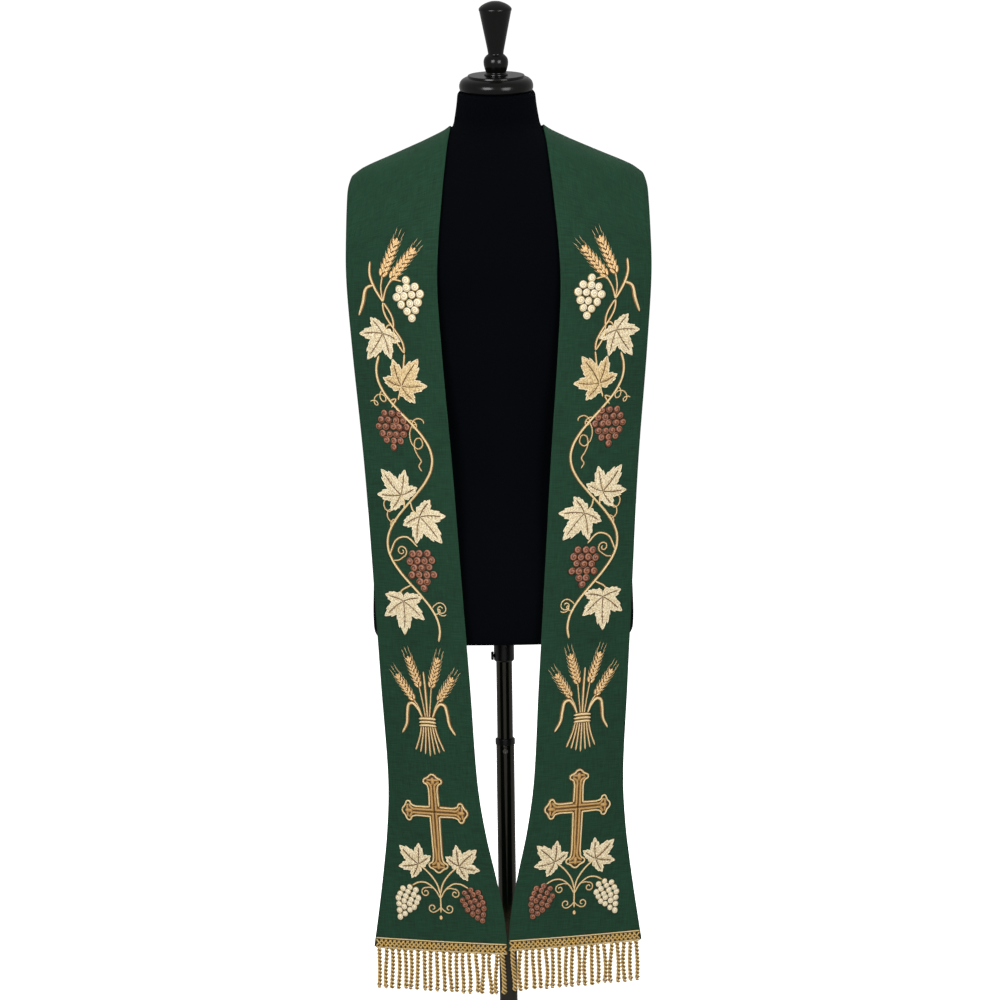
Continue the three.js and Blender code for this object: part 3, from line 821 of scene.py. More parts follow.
    def _make_front(self) -> None:
        """Work out the hanging front again in level rows, so that things can be laid on it by height."""
        start = int(np.searchsorted(self._rows(), self.FRONT_FROM))
        columns = self.inside[start:][::-1]
        self.heights = np.linspace(self.inside[-1, 0, 2], self.FRONT_TOP, 600)
        self.front = np.stack([self._levelled(column) for column in columns.transpose(1, 0, 2)], axis=1)
        self.front_normals = -self._normals(self.front)
        self.widths = np.linalg.norm(self.front[:, -1] - self.front[:, 0], axis=1)

    def _levelled(self, column: np.ndarray) -> np.ndarray:
        """A column of the net with its points at the front's own heights."""
        level = [np.interp(self.heights, column[:, 2], column[:, k]) for k in (0, 1)]
        return np.stack([*level, self.heights], axis=1)

    def place(self, flat: np.ndarray) -> np.ndarray:
        """Lay points of the flat pattern on the front of the cloth.

        Args:
            flat: Rows of the way across from the panel's middle (outwards is more), the height
                on the left half, and how far out from the cloth.

        Returns:
            The points in the frame, in millimetres.
        """
        height = self.dropped(flat[:, 1])
        step = self.heights[1] - self.heights[0]
        row = np.clip((height - self.heights[0]) / step, 0, len(self.heights) - 1.001)
        width = np.interp(height, self.heights, self.widths)
        column = np.clip((0.5 + flat[:, 0] / width) * self.COLUMNS, 0, self.COLUMNS - 1e-6)
        i, j = row.astype(int), column.astype(int)
        a, b = (row - i)[:, None], (column - j)[:, None]

        def mixed(net: np.ndarray) -> np.ndarray:
            """The net's values between its four nearest points."""
            low = net[i, j] * (1 - b) + net[i, j + 1] * b
            high = net[i + 1, j] * (1 - b) + net[i + 1, j + 1] * b
            return low * (1 - a) + high * a

        p = mixed(self.front) + mixed(self.front_normals) * (self.WALL + flat[:, 2:3])
        p[:, 2] += height - mixed(self.front)[:, 2]
        return p * (self.side.value, 1, 1)

    def hem(self, share: float) -> np.ndarray:
        """The point in the middle of the hem's wall, a share of the way to the outer edge."""
        column = share * self.COLUMNS
        index = min(int(column), self.COLUMNS - 1)
        net = self.inside[-1] + self.normals[-1] * self.WALL / 2
        p = net[index] + (net[index + 1] - net[index]) * (column - index)
        return p * (self.side.value, 1, 1)

    def flat_area(self) -> float:
        """The area of the half's inside, in square metres."""
        p = self.inside
        one = np.cross(p[1:, :-1] - p[:-1, :-1], p[:-1, 1:] - p[:-1, :-1])
        two = np.cross(p[:-1, 1:] - p[1:, 1:], p[1:, :-1] - p[1:, 1:])
        return float((np.linalg.norm(one, axis=2) + np.linalg.norm(two, axis=2)).sum() / 2) * MM * MM


@dataclass
class StoleCloth:
    """The cloth of one half: a wall with softly rounded, turned edges."""

    panel: Panel
    edge_steps: int = 4
    ripple: float = 0.35

    def build(self) -> bpy.types.Object:
        """Build and dress the half."""
        p, n, wall = self.panel.inside, self.panel.normals, self.panel.WALL
        widths = np.linalg.norm(p[:, -1] - p[:, 0], axis=1)
        rng = random.Random(SEED + self.panel.side.value)
        phases = [rng.uniform(0, math.tau) for _ in range(3)]
        along = lengths_along(p[:, p.shape[1] // 2])
        wave = self.ripple * (np.sin(along / 61 + phases[0]) + 0.7 * np.sin(along / 37 + phases[1]))
        layers, u = [], []
        columns = p.shape[1]
        across = np.linspace(0, 1, columns)
        swell = 0.25 * np.sin(across[None, :] * 5.2 + along[:, None] / 90 + phases[2])
        lift = (wave[:, None] * (across - 0.5)[None, :] + swell) * np.clip(along / 400, 0, 1)[:, None]
        face = p + n * lift[..., None]
        for j in range(columns):
            layers.append(face[:, j] + n[:, j] * wall)
            u.append(across[j])
        layers += self._edge(face, n, -1, wall, +1)
        u += [1.0] * (self.edge_steps - 1)
        for j in reversed(range(columns)):
            layers.append(face[:, j])
            u.append(across[j])
        layers += self._edge(face, n, 0, wall, -1)
        u += [0.0] * (self.edge_steps - 1)
        layers.append(layers[0])
        u.append(u[0])
        points = np.stack(layers, axis=1)
        points[..., 0] = np.maximum(points[..., 0], self.panel.EDGE_X)
        points[0, :, 0] = self.panel.EDGE_X
        points = points * (self.panel.side.value, 1, 1)
        uvs = np.stack([
            np.array(u)[None, :] * widths[:, None] * MM,
            np.repeat(along[:, None] * MM, len(u), axis=1),
        ], axis=2)
        shape = Shape()
        shape.add_grid(points, uvs)
        ends = [edge for edge in shape.bm.edges if edge.is_boundary]
        bmesh.ops.holes_fill(shape.bm, edges=ends, sides=0)
        name = f"{self.panel.side.word}_cloth"
        piece = shape.finish(name, "form", Finish.STOLE, sharp=50)
        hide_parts(f"stole_half_{self.panel.side.word}")
        return piece

    def _edge(self, face: np.ndarray, n: np.ndarray, column: int, wall: float, way: int) -> list:
        """The half-round of points along an edge of the wall, from its outside to its inside, or back.

        Args:
            face: The inside points.
            n: Their normals.
            column: The edge's column.
            wall: The wall's thickness.
            way: One from outside to inside at the outer edge, minus one from inside to outside.

        Returns:
            Rows of points, one for each step of the round.
        """
        neighbour = -2 if column == -1 else 1
        away = face[:, column] - face[:, neighbour]
        away /= np.linalg.norm(away, axis=1, keepdims=True)
        rows = []
        for k in range(1, self.edge_steps):
            angle = math.pi * k / self.edge_steps
            rise = 0.5 + 0.5 * math.cos(angle) * way
            rows.append(face[:, column] + n[:, column] * wall * rise + away * wall * 0.45 * math.sin(angle))
        return rows


# ---------------------------------------------------------------- stitched shapes


class Stitching(Shape):
    """Shapes in one thread on the flat pattern: X is across, Y the height and Z out of the cloth."""

    UNDER = 0.25  # how much flatter a stitched shape is below than above

    def cord(self, path: np.ndarray, width: float, rise: float, lift: float = 0.0, sides: int = 8,
             ends: float = 1.0, swell: float = 0.0) -> None:
        """Add a stitched cord along a path.

        Args:
            path: Its points, of two or three parts.
            width: Its full width.
            rise: How high its middle stands.
            lift: How far its base is off the cloth.
            sides: Its facets round.
            ends: How many widths its ends taper over.
            swell: How much wider its middle is, as a share.
        """
        path = np.hstack([path, np.zeros((len(path), 3 - path.shape[1]))])
        tangent = np.gradient(path, axis=0)
        tangent /= np.maximum(np.linalg.norm(tangent, axis=1, keepdims=True), 1e-9)
        side = np.stack([-tangent[:, 1], tangent[:, 0], 0 * tangent[:, 0]], axis=1)
        along = lengths_along(path)
        near = np.minimum(along, along[-1] - along) / max(ends * width, 1e-6)
        size = np.sqrt(np.clip(1 - (1 - np.clip(near, 0, 1)) ** 2, 0, 1))
        size = size * (1 + swell * np.sin(math.pi * along / along[-1]))
        angles = np.linspace(0, math.tau, sides + 1)
        over = np.where(np.sin(angles) > 0, 1.0, self.UNDER) * np.sin(angles)
        ring = side[:, None, :] * (np.cos(angles)[None, :, None] * width / 2)
        up = np.array([0, 0, 1]) * (over * rise)[None, :, None]
        points = path[:, None, :] + (ring + up) * size[:, None, None] + (0, 0, lift)
        points[:, -1] = points[:, 0]
        around = np.linspace(0, 2, sides + 1) * 3.0
        uvs = np.stack(np.broadcast_arrays(along[:, None], around[None, :]), axis=2)
        self.add_grid(points, uvs)

    def grain(self, place: tuple, turn: float, length: float, width: float, rise: float,
              lift: float = 0.0, segments: int = 10, rings: int = 6, across: float | None = None) -> None:
        """Add a padded seed shape.

        Args:
            place: Where its middle is on the pattern.
            turn: Its direction, in degrees from straight up towards the outer edge.
            length: Its length.
            width: Its width.
            rise: How high it stands.
            lift: How far its base is off the cloth.
            segments: Its facets round.
            rings: Its steps from pole to pole.
            across: What its radius counts for on the UV map: half its length, if not given.
        """
        matrix = Matrix.Translation((*place, lift)) @ Matrix.Rotation(-math.radians(turn), 4, "Z")
        matrix = matrix @ Matrix.Diagonal((width / 2, length / 2, rise, 1))
        across = length / 2 if across is None else across
        self.add_ball(matrix, segments, rings, across, 0.4 / rise)

    def leaf_fill(self, outline: np.ndarray, veins: np.ndarray, centre: tuple, rise: float) -> None:
        """Add a padded leaf with furrows along its veins.

        Args:
            outline: How far its edge is from the centre, for evenly spaced angles round to the first again.
            veins: The angles of its veins.
            centre: The point where the veins meet.
            rise: How high it stands.
        """
        angles = np.linspace(0, math.tau, len(outline))
        shares = np.array([0, 0.1, 0.24, 0.4, 0.56, 0.72, 0.86, 0.95, 1.0, 1.0, 0.9, 0.0])
        heights = np.array([1, 1, 1, 1, 0.98, 0.92, 0.8, 0.62, 0.3, 0.0, -0.1, -0.1])
        radius = shares[:, None] * outline[None, :]
        turn = np.abs((angles[:, None] - veins[None, :] + math.pi) % math.tau - math.pi).min(axis=1)
        away = radius * np.sin(np.minimum(turn, math.pi / 2))[None, :]
        furrow = 1 - 0.45 * np.exp(-((away / 1.3) ** 2))
        height = rise * np.where(heights[:, None] > 0, heights[:, None] * furrow, heights[:, None])
        x = centre[0] + radius * np.sin(angles)[None, :]
        y = centre[1] + radius * np.cos(angles)[None, :]
        points = np.stack([x, y, height], axis=2)
        points[:, -1] = points[:, 0]
        uvs = np.stack([radius, away], axis=2)
        self.add_grid(points, uvs)

    def lay(self, panel: Panel, name: str, finish: object) -> bpy.types.Object:
        """Lay a copy of the shapes on a panel and dress it.

        Args:
            panel: The half of the stole that takes them.
            name: The piece's name.
            finish: Its thread.

        Returns:
            The piece.
        """
        copy = Shape()
        copy.bm.free()
        copy.bm = self.bm.copy()
        flat = np.array([vertex.co for vertex in copy.bm.verts], float)
        for vertex, place in zip(copy.bm.verts, panel.place(flat).tolist()):
            vertex.co = place
        return copy.finish(f"{panel.side.word}_{name}", "form", finish)


class Embroidery:
    """The stitched pattern of one half, drawn once and laid on both.

    Places are (across, height): across from the panel's middle, outwards, and height above the
    floor on the left half. A turn is in degrees from straight up towards the outer edge.
    """

    FINISHES = {
        "cords": Finish.GOLD_CORD, "tendrils": Finish.GOLD_CORD, "shade": Finish.DARK_CORD,
        "cream_leaves": Finish.CREAM_FILL, "honey_leaves": Finish.HONEY_FILL, "rims": Finish.PALE_OUTLINE,
        "veins": Finish.VEIN, "pale_grapes": Finish.PALE_GRAPE, "brown_grapes": Finish.BROWN_GRAPE,
        "wheat": Finish.WHEAT, "awns": Finish.GOLD_CORD, "cross_fill": Finish.GOLD_FILL,
        "cross_cord": Finish.GOLD_CORD,
    }

    def __init__(self) -> None:
        """Start every thread's shapes and draw the pattern from the top down."""
        self.work = {name: Stitching() for name in self.FINISHES}
        self.rng = random.Random(SEED)
        self.draw_top_spray()
        self.draw_vine()
        self.draw_sheaf()
        self.draw_cross()
        self.draw_low_spray()

    def lay(self, panel: Panel) -> list:
        """Lay every thread's shapes on a panel, and return the pieces."""
        pieces = []
        for name, stitching in self.work.items():
            piece = stitching.lay(panel, name, self.FINISHES[name])
            pieces.append(piece)
        return pieces

    # ------------------------------------------------ single motifs

    LEAF_LOBES = ((0, 1.0, 29), (52, 0.82, 28), (-52, 0.82, 28), (104, 0.62, 34), (-104, 0.62, 34))
    TOOTH = 11.0  # degrees between a leaf's teeth

    def leaf_edge(self, size: float, count: int = 289) -> np.ndarray:
        """How far a vine leaf's edge is from its petiole, for angles round from its tip.

        Args:
            size: From the petiole to the tip.
            count: How many angles, with the last one the first again.

        Returns:
            The distances.
        """
        turn = (np.linspace(0, 360, count) + 180) % 360 - 180
        radius = np.full(count, 0.3)
        for lobe, reach, spread in self.LEAF_LOBES:
            away = np.abs((turn - lobe + 180) % 360 - 180)
            saw = 1 - (away / self.TOOTH) % 1
            arch = reach * (1 - 0.5 * (away / spread) ** 1.2) * (0.88 + 0.17 * saw)
            radius = np.maximum(radius, np.where(away < spread * 1.4, arch, 0))
        notch = np.clip((180 - np.abs(turn)) / 26, 0, 1)
        return size * radius * (0.3 + 0.7 * notch)

    def draw_cord(self, path: np.ndarray, width: float, lift: float = 0.0, swell: float = 0.0,
                  thread: str = "cords") -> None:
        """Draw a cord with a darker, flat one under it that shows along its sides.

        Args:
            path: Its points.
            width: Its full width.
            lift: How far its base is off the cloth.
            swell: How much wider its middle is, as a share.
            thread: The name of its thread.
        """
        self.work["shade"].cord(path, width + 1.6, 0.5, lift, sides=6, ends=1.5, swell=swell)
        self.work[thread].cord(path, width, width * 0.42 + 0.35, lift + 0.1, sides=8, ends=2, swell=swell)

    def draw_leaf(self, petiole: tuple, turn: float, size: float, cream: bool = True) -> None:
        """Draw a vine leaf with its veins and outline.

        Args:
            petiole: Where its stem joins it.
            turn: Which way its tip points.
            size: From the petiole to the tip.
            cream: Whether it is in the paler of the two threads.
        """
        edge = self.leaf_edge(size)
        angle = math.radians(turn)
        count = len(edge) - 1
        shift = round(turn / 360 * count) % count
        edge = np.concatenate([np.roll(edge[:-1], shift), [0]])
        edge[-1] = edge[0]
        veins = np.array([angle + math.radians(lobe) for lobe, _, _ in self.LEAF_LOBES])
        fill = self.work["cream_leaves" if cream else "honey_leaves"]
        fill.leaf_fill(edge, veins, petiole, 1.2)
        angles = np.linspace(0, math.tau, len(edge))
        rim = np.stack([petiole[0] + edge * np.sin(angles), petiole[1] + edge * np.cos(angles)], axis=1)
        middle = shift + count // 2
        order = (np.arange(count + 1) + middle) % count
        self.work["shade"].cord(rim[order][4:-4], 2.3, 0.35, sides=5)
        self.work["rims"].cord(rim[order][4:-4], 1.5, 0.95, lift=0.1, sides=6)
        start = np.array(petiole)
        for (lobe, reach, _), vein in zip(self.LEAF_LOBES, veins):
            way, side = bearing(vein)
            length = size * reach * 0.86
            bend = side * size * 0.03 * (1 if lobe >= 0 else -1)
            path = route([start, start + way * length / 2 + bend, start + way * length])
            self.work["veins"].cord(path, 1.5, 0.6, lift=0.75, sides=5, ends=2)
            for share in (0.34, 0.52, 0.7):
                for hand in (-1, 1):
                    foot = start + way * length * share + bend * (1 - abs(2 * share - 1))
                    tip = foot + (way * 0.75 + side * hand * 0.62) * length * 0.24 * (1.25 - share)
                    self.work["veins"].cord(route([foot, tip], 1.5), 0.9, 0.5, lift=0.75, sides=4, ends=2)

    def draw_bunch(self, top: tuple, turn: float, rows: tuple, grape: float, pale: bool) -> None:
        """Draw a bunch of closely packed grapes from its shoulders to its point.

        Args:
            top: The middle of the first row.
            turn: Which way it hangs.
            rows: How many grapes each row has.
            grape: A grape's width.
            pale: Whether it is in the pale thread or the brown one.
        """
        work = self.work["pale_grapes" if pale else "brown_grapes"]
        down, right = bearing(math.radians(turn))
        for row, count in enumerate(rows):
            for k in range(count):
                off = ((count - 1) / 2 - k) * grape
                spot = np.array(top, float) + down * row * grape * 0.87 + right * off
                spot = spot + [self.rng.uniform(-0.6, 0.6) for _ in range(2)]
                size = grape * self.rng.uniform(1.06, 1.16)
                work.grain(tuple(spot), self.rng.uniform(0, 360), size, size * 0.93, 2.1,
                           lift=0.5 * ((row + k) % 2), segments=14, rings=6, across=1.0)

    def draw_ear(self, base: tuple, tip: tuple, pairs: int = 7, awn: float = 15.0) -> None:
        """Draw an ear of wheat with its awns.

        Args:
            base: Where its stalk meets it.
            tip: The end of its top grain.
            pairs: How many grains each side has.
            awn: How far its awns reach past its grains.
        """
        a, b = np.array(base, float), np.array(tip, float)
        way = (b - a) / np.linalg.norm(b - a)
        side = np.array([way[1], -way[0]])
        turn = math.degrees(math.atan2(way[0], way[1]))
        length = float(np.linalg.norm(b - a))
        size = length / pairs * 1.6
        wheat, awns, shade = self.work["wheat"], self.work["awns"], self.work["shade"]
        for k in range(pairs):
            share = (k + 0.25) / pairs
            slim = 1 - 0.4 * max(0.0, share - 0.45)
            for hand in (-1, 1):
                spot = a + way * length * share + side * hand * size * 0.3 * slim
                lean, lift = turn + hand * 27, 0.5 - 0.25 * (k % 2)
                wheat.grain(tuple(spot), lean, size * slim, size * 0.42 * slim, 1.5, lift, 8, 5, 1.0)
                shade.grain(tuple(spot), lean, size * slim + 1.8, size * 0.42 * slim + 1.8, 0.6, 0, 8, 5)
                reach = awn * (0.55 + 0.45 * share) * self.rng.uniform(0.85, 1.1)
                root = spot + (way * 0.92 + side * hand * 0.4) * size * 0.45
                end = root + (way + side * hand * 0.36 * (1.2 - share)) * reach
                bent = route([root, (root + end) / 2 + way * 0.6, end], 4)
                awns.cord(bent, 0.9, 0.5, 0.1, sides=4, ends=4)
        for k in range(pairs - 1):
            spot = a + way * length * (k + 0.8) / pairs
            wheat.grain(tuple(spot), turn, size * 0.7, size * 0.3, 2.0, 0.9, 8, 5, 1.0)
        wheat.grain(tuple(b - way * size * 0.3), turn, size * 0.9, size * 0.38, 1.5, 0.4, 8, 5, 1.0)
        awns.cord(route([b, b + way * awn], 4), 0.9, 0.5, 0.1, sides=4, ends=4)

    def draw_curl(self, start: tuple, turn: float, size: float, turns: float, hand: int,
                  reach: float) -> None:
        """Draw a tendril that runs out and winds up.

        Args:
            start: Where it leaves the vine.
            turn: Which way it sets out.
            size: The width of its coil.
            turns: How often it winds round.
            hand: One if it winds clockwise, minus one if not.
            reach: How far it runs before its coil.
        """
        way, right = bearing(math.radians(turn))
        side = right * hand
        a = np.array(start, float)
        centre = a + way * reach + side * size / 2
        steps = np.linspace(0, 1, 14 + round(10 * turns))
        wound = steps * turns * math.tau
        radius = size / 2 * (1 - 0.8 * steps)
        coil = centre - side * (radius * np.cos(wound))[:, None] + way * (radius * np.sin(wound))[:, None]
        lead = route([a, a + way * reach * 0.5 - side * reach * 0.12, coil[0]], 2.5)[:-1]
        self.draw_cord(np.vstack([lead, coil]), 1.5, thread="tendrils")

    def draw_loops(self, start: tuple, turn: float, reach: float, size: float, loops: float,
                   hand: int) -> None:
        """Draw a tendril that runs on in loops.

        Args:
            start: Where it leaves the vine.
            turn: Which way it runs.
            reach: How far it gets.
            size: The width of its first loop.
            loops: How many loops it makes.
            hand: One if it winds clockwise, minus one if not.
        """
        way, right = bearing(math.radians(turn))
        side = right * hand
        t = np.linspace(0, 1, round(22 * loops))
        wound, radius = t * loops * math.tau, size / 2 * (1 - 0.45 * t)
        ahead = reach * t + radius * np.sin(wound)
        aside = radius * (1 - np.cos(wound))
        path = np.array(start, float) + way * ahead[:, None] + side * aside[:, None]
        self.draw_cord(path, 1.4, thread="tendrils")

    # ------------------------------------------------ the pattern

    def draw_top_spray(self) -> None:
        """Two ears, two blades and a pale bunch, on stems that cross on their way down."""
        join = (12, 1214)
        for base, tip in (((11, 1250), (-9, 1297)), ((-3, 1246), (-35, 1284))):
            middle = ((base[0] + join[0]) / 2 + 2.5, (base[1] + join[1]) / 2)
            self.draw_cord(route([base, middle, join]), 1.8)
            self.draw_ear(base, tip, awn=16)
        self.draw_cord(route([(30, 1268), (30, 1250), (23, 1232), (12, 1214)]), 2.4, swell=0.3)
        self.draw_cord(route([(24, 1237), (36, 1232), (42, 1214), (50, 1196)]), 2.6, swell=0.6)
        self.draw_cord(route([(12, 1216), (5, 1234), (-4, 1243), (-17, 1241)]), 1.9)
        self.draw_bunch((-23, 1242), 187, (1, 3, 4, 3, 2, 1), 11.4, pale=True)
        start, end = np.array(join, float), np.array((-13, 1146), float)
        shares = np.linspace(0, 1, 40)
        for bulge in (-1, 1):
            weave = bulge * 5.0 * np.sin(shares * math.tau)
            path = start + (end - start) * shares[:, None] + np.array([0.95, 0.3]) * weave[:, None]
            self.draw_cord(path, 2.3, lift=0.8 if bulge > 0 else 0.0)
        self.draw_cord(route([(-4, 1178), (6, 1184), (16, 1173)]), 1.9)
        self.draw_leaf((16, 1173), 142, 41)
        self.draw_cord(route([(-13, 1146), (-9, 1125), (-4, 1104), (3, 1084)]), 2.2)
        self.draw_leaf((-4, 1103), -37, 43, cream=False)

    VINE_TOP, VINE_BOTTOM, HALF_WAVE, BAY = 1150.0, 762.0, 118.0, 890.0

    def vine_at(self, height: float) -> tuple:
        """The vine's place at a height: a wave that is narrower at its ends."""
        middle = (self.VINE_TOP + self.VINE_BOTTOM) / 2
        size = 38 - 11 * abs((height - middle) / (self.VINE_TOP - middle)) ** 3
        return (size * math.cos(math.pi * (height - self.BAY) / self.HALF_WAVE), height)

    def draw_vine(self) -> None:
        """The waving vine with its leaves, brown bunches and tendrils."""
        heights = np.linspace(self.VINE_TOP - 6, self.VINE_BOTTOM, 26)
        self.draw_cord(route([self.vine_at(h) for h in heights]), 3.2)
        self.draw_cord(route([self.vine_at(1084), (6, 1086), (14, 1074)], 1.5), 1.9)
        self.draw_bunch((14, 1067), 178, (3, 4, 5, 4, 3, 1), 10.4, pale=False)
        self.draw_cord(route([(12, 958), (8, 950), self.vine_at(940)], 1.5), 2.2)
        self.draw_leaf((12, 958), 38, 41)
        self.draw_cord(route([(-12, 932), (-4, 938), self.vine_at(950)], 1.5), 2.2)
        self.draw_leaf((-13, 930), -140, 43)
        self.draw_cord(route([self.vine_at(878), (24, 898), (8, 902), (-7, 889)], 2), 2.2)
        self.draw_bunch((-9, 880), 184, (3, 4, 3, 4, 2, 1), 10.6, pale=False)
        self.draw_cord(route([(20, 818), (23, 828), self.vine_at(838)], 1.5), 2.0)
        self.draw_leaf((20, 816), 178, 43)
        self.draw_loops(self.vine_at(1098), 128, 26, 15, 2, 1)
        self.draw_loops(self.vine_at(1058), -80, 20, 14, 1.5, -1)
        self.draw_cord(route([
            (-21, 1053), (-14, 1051), (-9, 1040), (-11, 1027), (-19, 1020), (-26, 1025), (-24, 1034),
            (-17, 1033), (-14, 1022), (-18, 1011), (-22, 1004), (-18, 997), (-22, 990),
        ], 1.5), 1.4, thread="tendrils")
        self.draw_loops(self.vine_at(914), 16, 38, 11, 2.6, -1)
        self.draw_curl(self.vine_at(870), -72, 16, 1.4, 1, 18)
        self.draw_curl(self.vine_at(806), -40, 18, 1.4, -1, 9)
        self.draw_loops(self.vine_at(800), -100, 14, 9, 1.3, 1)

    def draw_sheaf(self) -> None:
        """Four ears and two blades, tied, with their stalks spread below the tie."""
        tie = 653.0
        ears = (((18, 684), (40, 716)), ((8, 702), (21, 741)),
                ((-10, 702), (-23, 741)), ((-20, 684), (-42, 715)))
        for k, (base, tip) in enumerate(ears):
            foot = 5.5 - 4.2 * k
            self.draw_cord(route([base, (foot * 1.1 + base[0] * 0.25, 672), (foot, tie)]), 1.4)
            self.draw_ear(base, tip, awn=16)
        self.draw_cord(route([(0, 722), (-1, 690), (-1, tie)]), 1.6, swell=0.5)
        for k in range(7):
            start, end = 7.5 - 2.8 * k, 20.0 - 7.0 * k
            drop = 606 + abs(k - 3) * 2.5
            self.draw_cord(route([(start, tie), (start + (end - start) * 0.35, 634), (end, drop)]), 1.9)
        for hand in (-1, 1):
            droop = [(7, 658), (13, 671), (20, 678), (26, 676), (29, 664), (31, 650), (39, 636)]
            self.draw_cord(route([(x * hand - 1, y) for x, y in droop]), 2.5, swell=0.5)
        for k in range(3):
            level = tie + 4.6 * (k - 1)
            band = route([(12, level - 0.6), (5, level + 0.4), (-7, level + 0.4), (-14, level - 0.6)])
            self.draw_cord(band, 3.4, lift=1.2)

    CROSS_AT = (-1.0, 531.0)
    CROSS_ARMS = ((0, 51.0), (90, 47.0), (180, 83.0), (270, 47.0))
    # How far back from an arm's tip and how far to its side its outline passes, up to the tip
    ARM_RIM = ((19, 6.4), (14, 8.2), (11.4, 12.6), (7.6, 12.6), (5.4, 8.8), (4.0, 6.0), (1.4, 3.6))

    def draw_cross(self) -> None:
        """A cross with three-lobed ends: two ridges along each arm, inside a raised cord."""
        centre = np.array(self.CROSS_AT)
        fill, rim = self.work["cross_fill"], []
        for turn, length in self.CROSS_ARMS:
            way, side = bearing(math.radians(turn))

            def at(along: float, across: float, way: np.ndarray = way,
                   side: np.ndarray = side) -> np.ndarray:
                """The point so far along the arm and so far to its side."""
                return centre + way * along + side * across

            self.work["shade"].cord(route([at(0, 0), at(length - 8, 0)]), 13.0, 0.5, sides=6, ends=0.2)
            for hand in (-1, 1):
                lane = [at(0, 2.6 * hand), at(length * 0.5, 2.5 * hand), at(length - 15, 2.9 * hand)]
                fill.cord(route([*lane, at(length - 9.6, 9.8 * hand)]), 3.3, 2.2, 0.3, sides=8, ends=0.7)
            fill.grain(tuple(at(length - 9, 0)), turn, 13, 20, 1.0)
            fill.cord(route([at(length - 15, 0), at(length - 3.5, 0)]), 5.8, 2.3, 0.1, ends=0.9)
            self.work["veins"].cord(route([at(0, 0), at(length - 14, 0)]), 1.3, 0.5, lift=0.5, sides=5)
            near = [(length - back, across) for back, across in self.ARM_RIM]
            outline = [(6.6, 6.6), (length * 0.45, 6.1), *near]
            rim += [at(along, -across) for along, across in outline]
            rim += [at(length, 0)]
            rim += [at(along, across) for along, across in reversed(outline)]
        rim.append(rim[0])
        path = route([tuple(p) for p in rim], 1.6)
        self.work["shade"].cord(path, 4.0, 0.5, sides=6, ends=0.2)
        self.work["cross_cord"].cord(path, 2.5, 2.0, lift=0.2, ends=0.4)

    def draw_low_spray(self) -> None:
        """Two leaves and two bunches on scrolled stems under the cross."""
        self.draw_cord(route([(-1, 421), (-1, 404), (-1, 392)]), 2.2)
        self.work["wheat"].grain((-1, 386), 0, 7, 5, 1.6, 0.2, 10, 6, 1.0)
        for hand in (-1, 1):
            def mirrored(points: list, hand: int = hand) -> list:
                """The points on the spray's other side, for a hand of minus one."""
                return [(-1 + hand * x, y) for x, y in points]

            self.draw_cord(route(mirrored([(0, 418), (4, 432), (14, 446), (28, 458)])), 2.2)
            self.draw_leaf(*mirrored([(29, 458)]), 48 * hand, 33.5)
            self.draw_cord(route(mirrored([(0, 412), (7, 424), (19, 433), (30, 433), (40, 428)])), 1.9)
            rows = (2, 4, 4, 4, 3, 2, 1)
            self.draw_bunch(*mirrored([(39, 424)]), 154 * hand, rows, 8.4, pale=hand > 0)
            self.draw_curl(mirrored([(8, 425)])[0], 84 * hand, 13, 1.3, hand, 12)
            self.draw_curl(mirrored([(0, 402)])[0], 138 * hand, 13, 1.2, -hand, 10)


# ---------------------------------------------------------------- braid and fringe


@dataclass
class Braid:
    """The plaited galloon on the front of a hem."""

    panel: Panel
    height: float = 14.5
    below: float = 1.5
    pitch: float = 6.2
    lift: float = 0.9

    def build(self) -> list:
        """Build and dress the ground, the plait and the two edge cords."""
        bottom = Panel.HEM_Z - self.below
        middle = bottom + self.height / 2
        half = float(self.panel.widths[0]) / 2
        ground = Stitching()
        across = np.arange(-half, half, 3.0)
        for level in np.linspace(bottom + 1.0, bottom + self.height - 1.0, 6):
            row = np.stack([across, 0 * across + level], axis=1)
            ground.cord(row, 3.4, 0.6, lift=0.1, sides=6, ends=0.2)
        plait = Stitching()
        reach = self.height / 2 - 2.2
        share = np.linspace(-1, 1, 11)
        for x in np.arange(-half + 6, half - 5, self.pitch):
            for hand in (-1, 1):
                over = self.lift + 0.45 * hand * np.cos(math.tau * share * reach / self.pitch)
                path = np.stack([x + hand * share * reach, middle + share * reach, over], axis=1)
                plait.cord(path, 2.8, 1.4, sides=8, ends=0.5)
        edges = Stitching()
        for level in (bottom + 0.9, bottom + self.height - 0.9):
            row = np.stack([across, 0 * across + level], axis=1)
            edges.cord(row, 1.7, 1.2, lift=0.4, sides=8, ends=0.4)
        pieces = [
            ground.lay(self.panel, "braid_ground", Finish.BRAID_GROUND),
            plait.lay(self.panel, "braid_plait", Finish.BRAID),
            edges.lay(self.panel, "braid_edges", Finish.BRAID_EDGE),
        ]
        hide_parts(f"braid_{self.panel.side.word}")
        return pieces


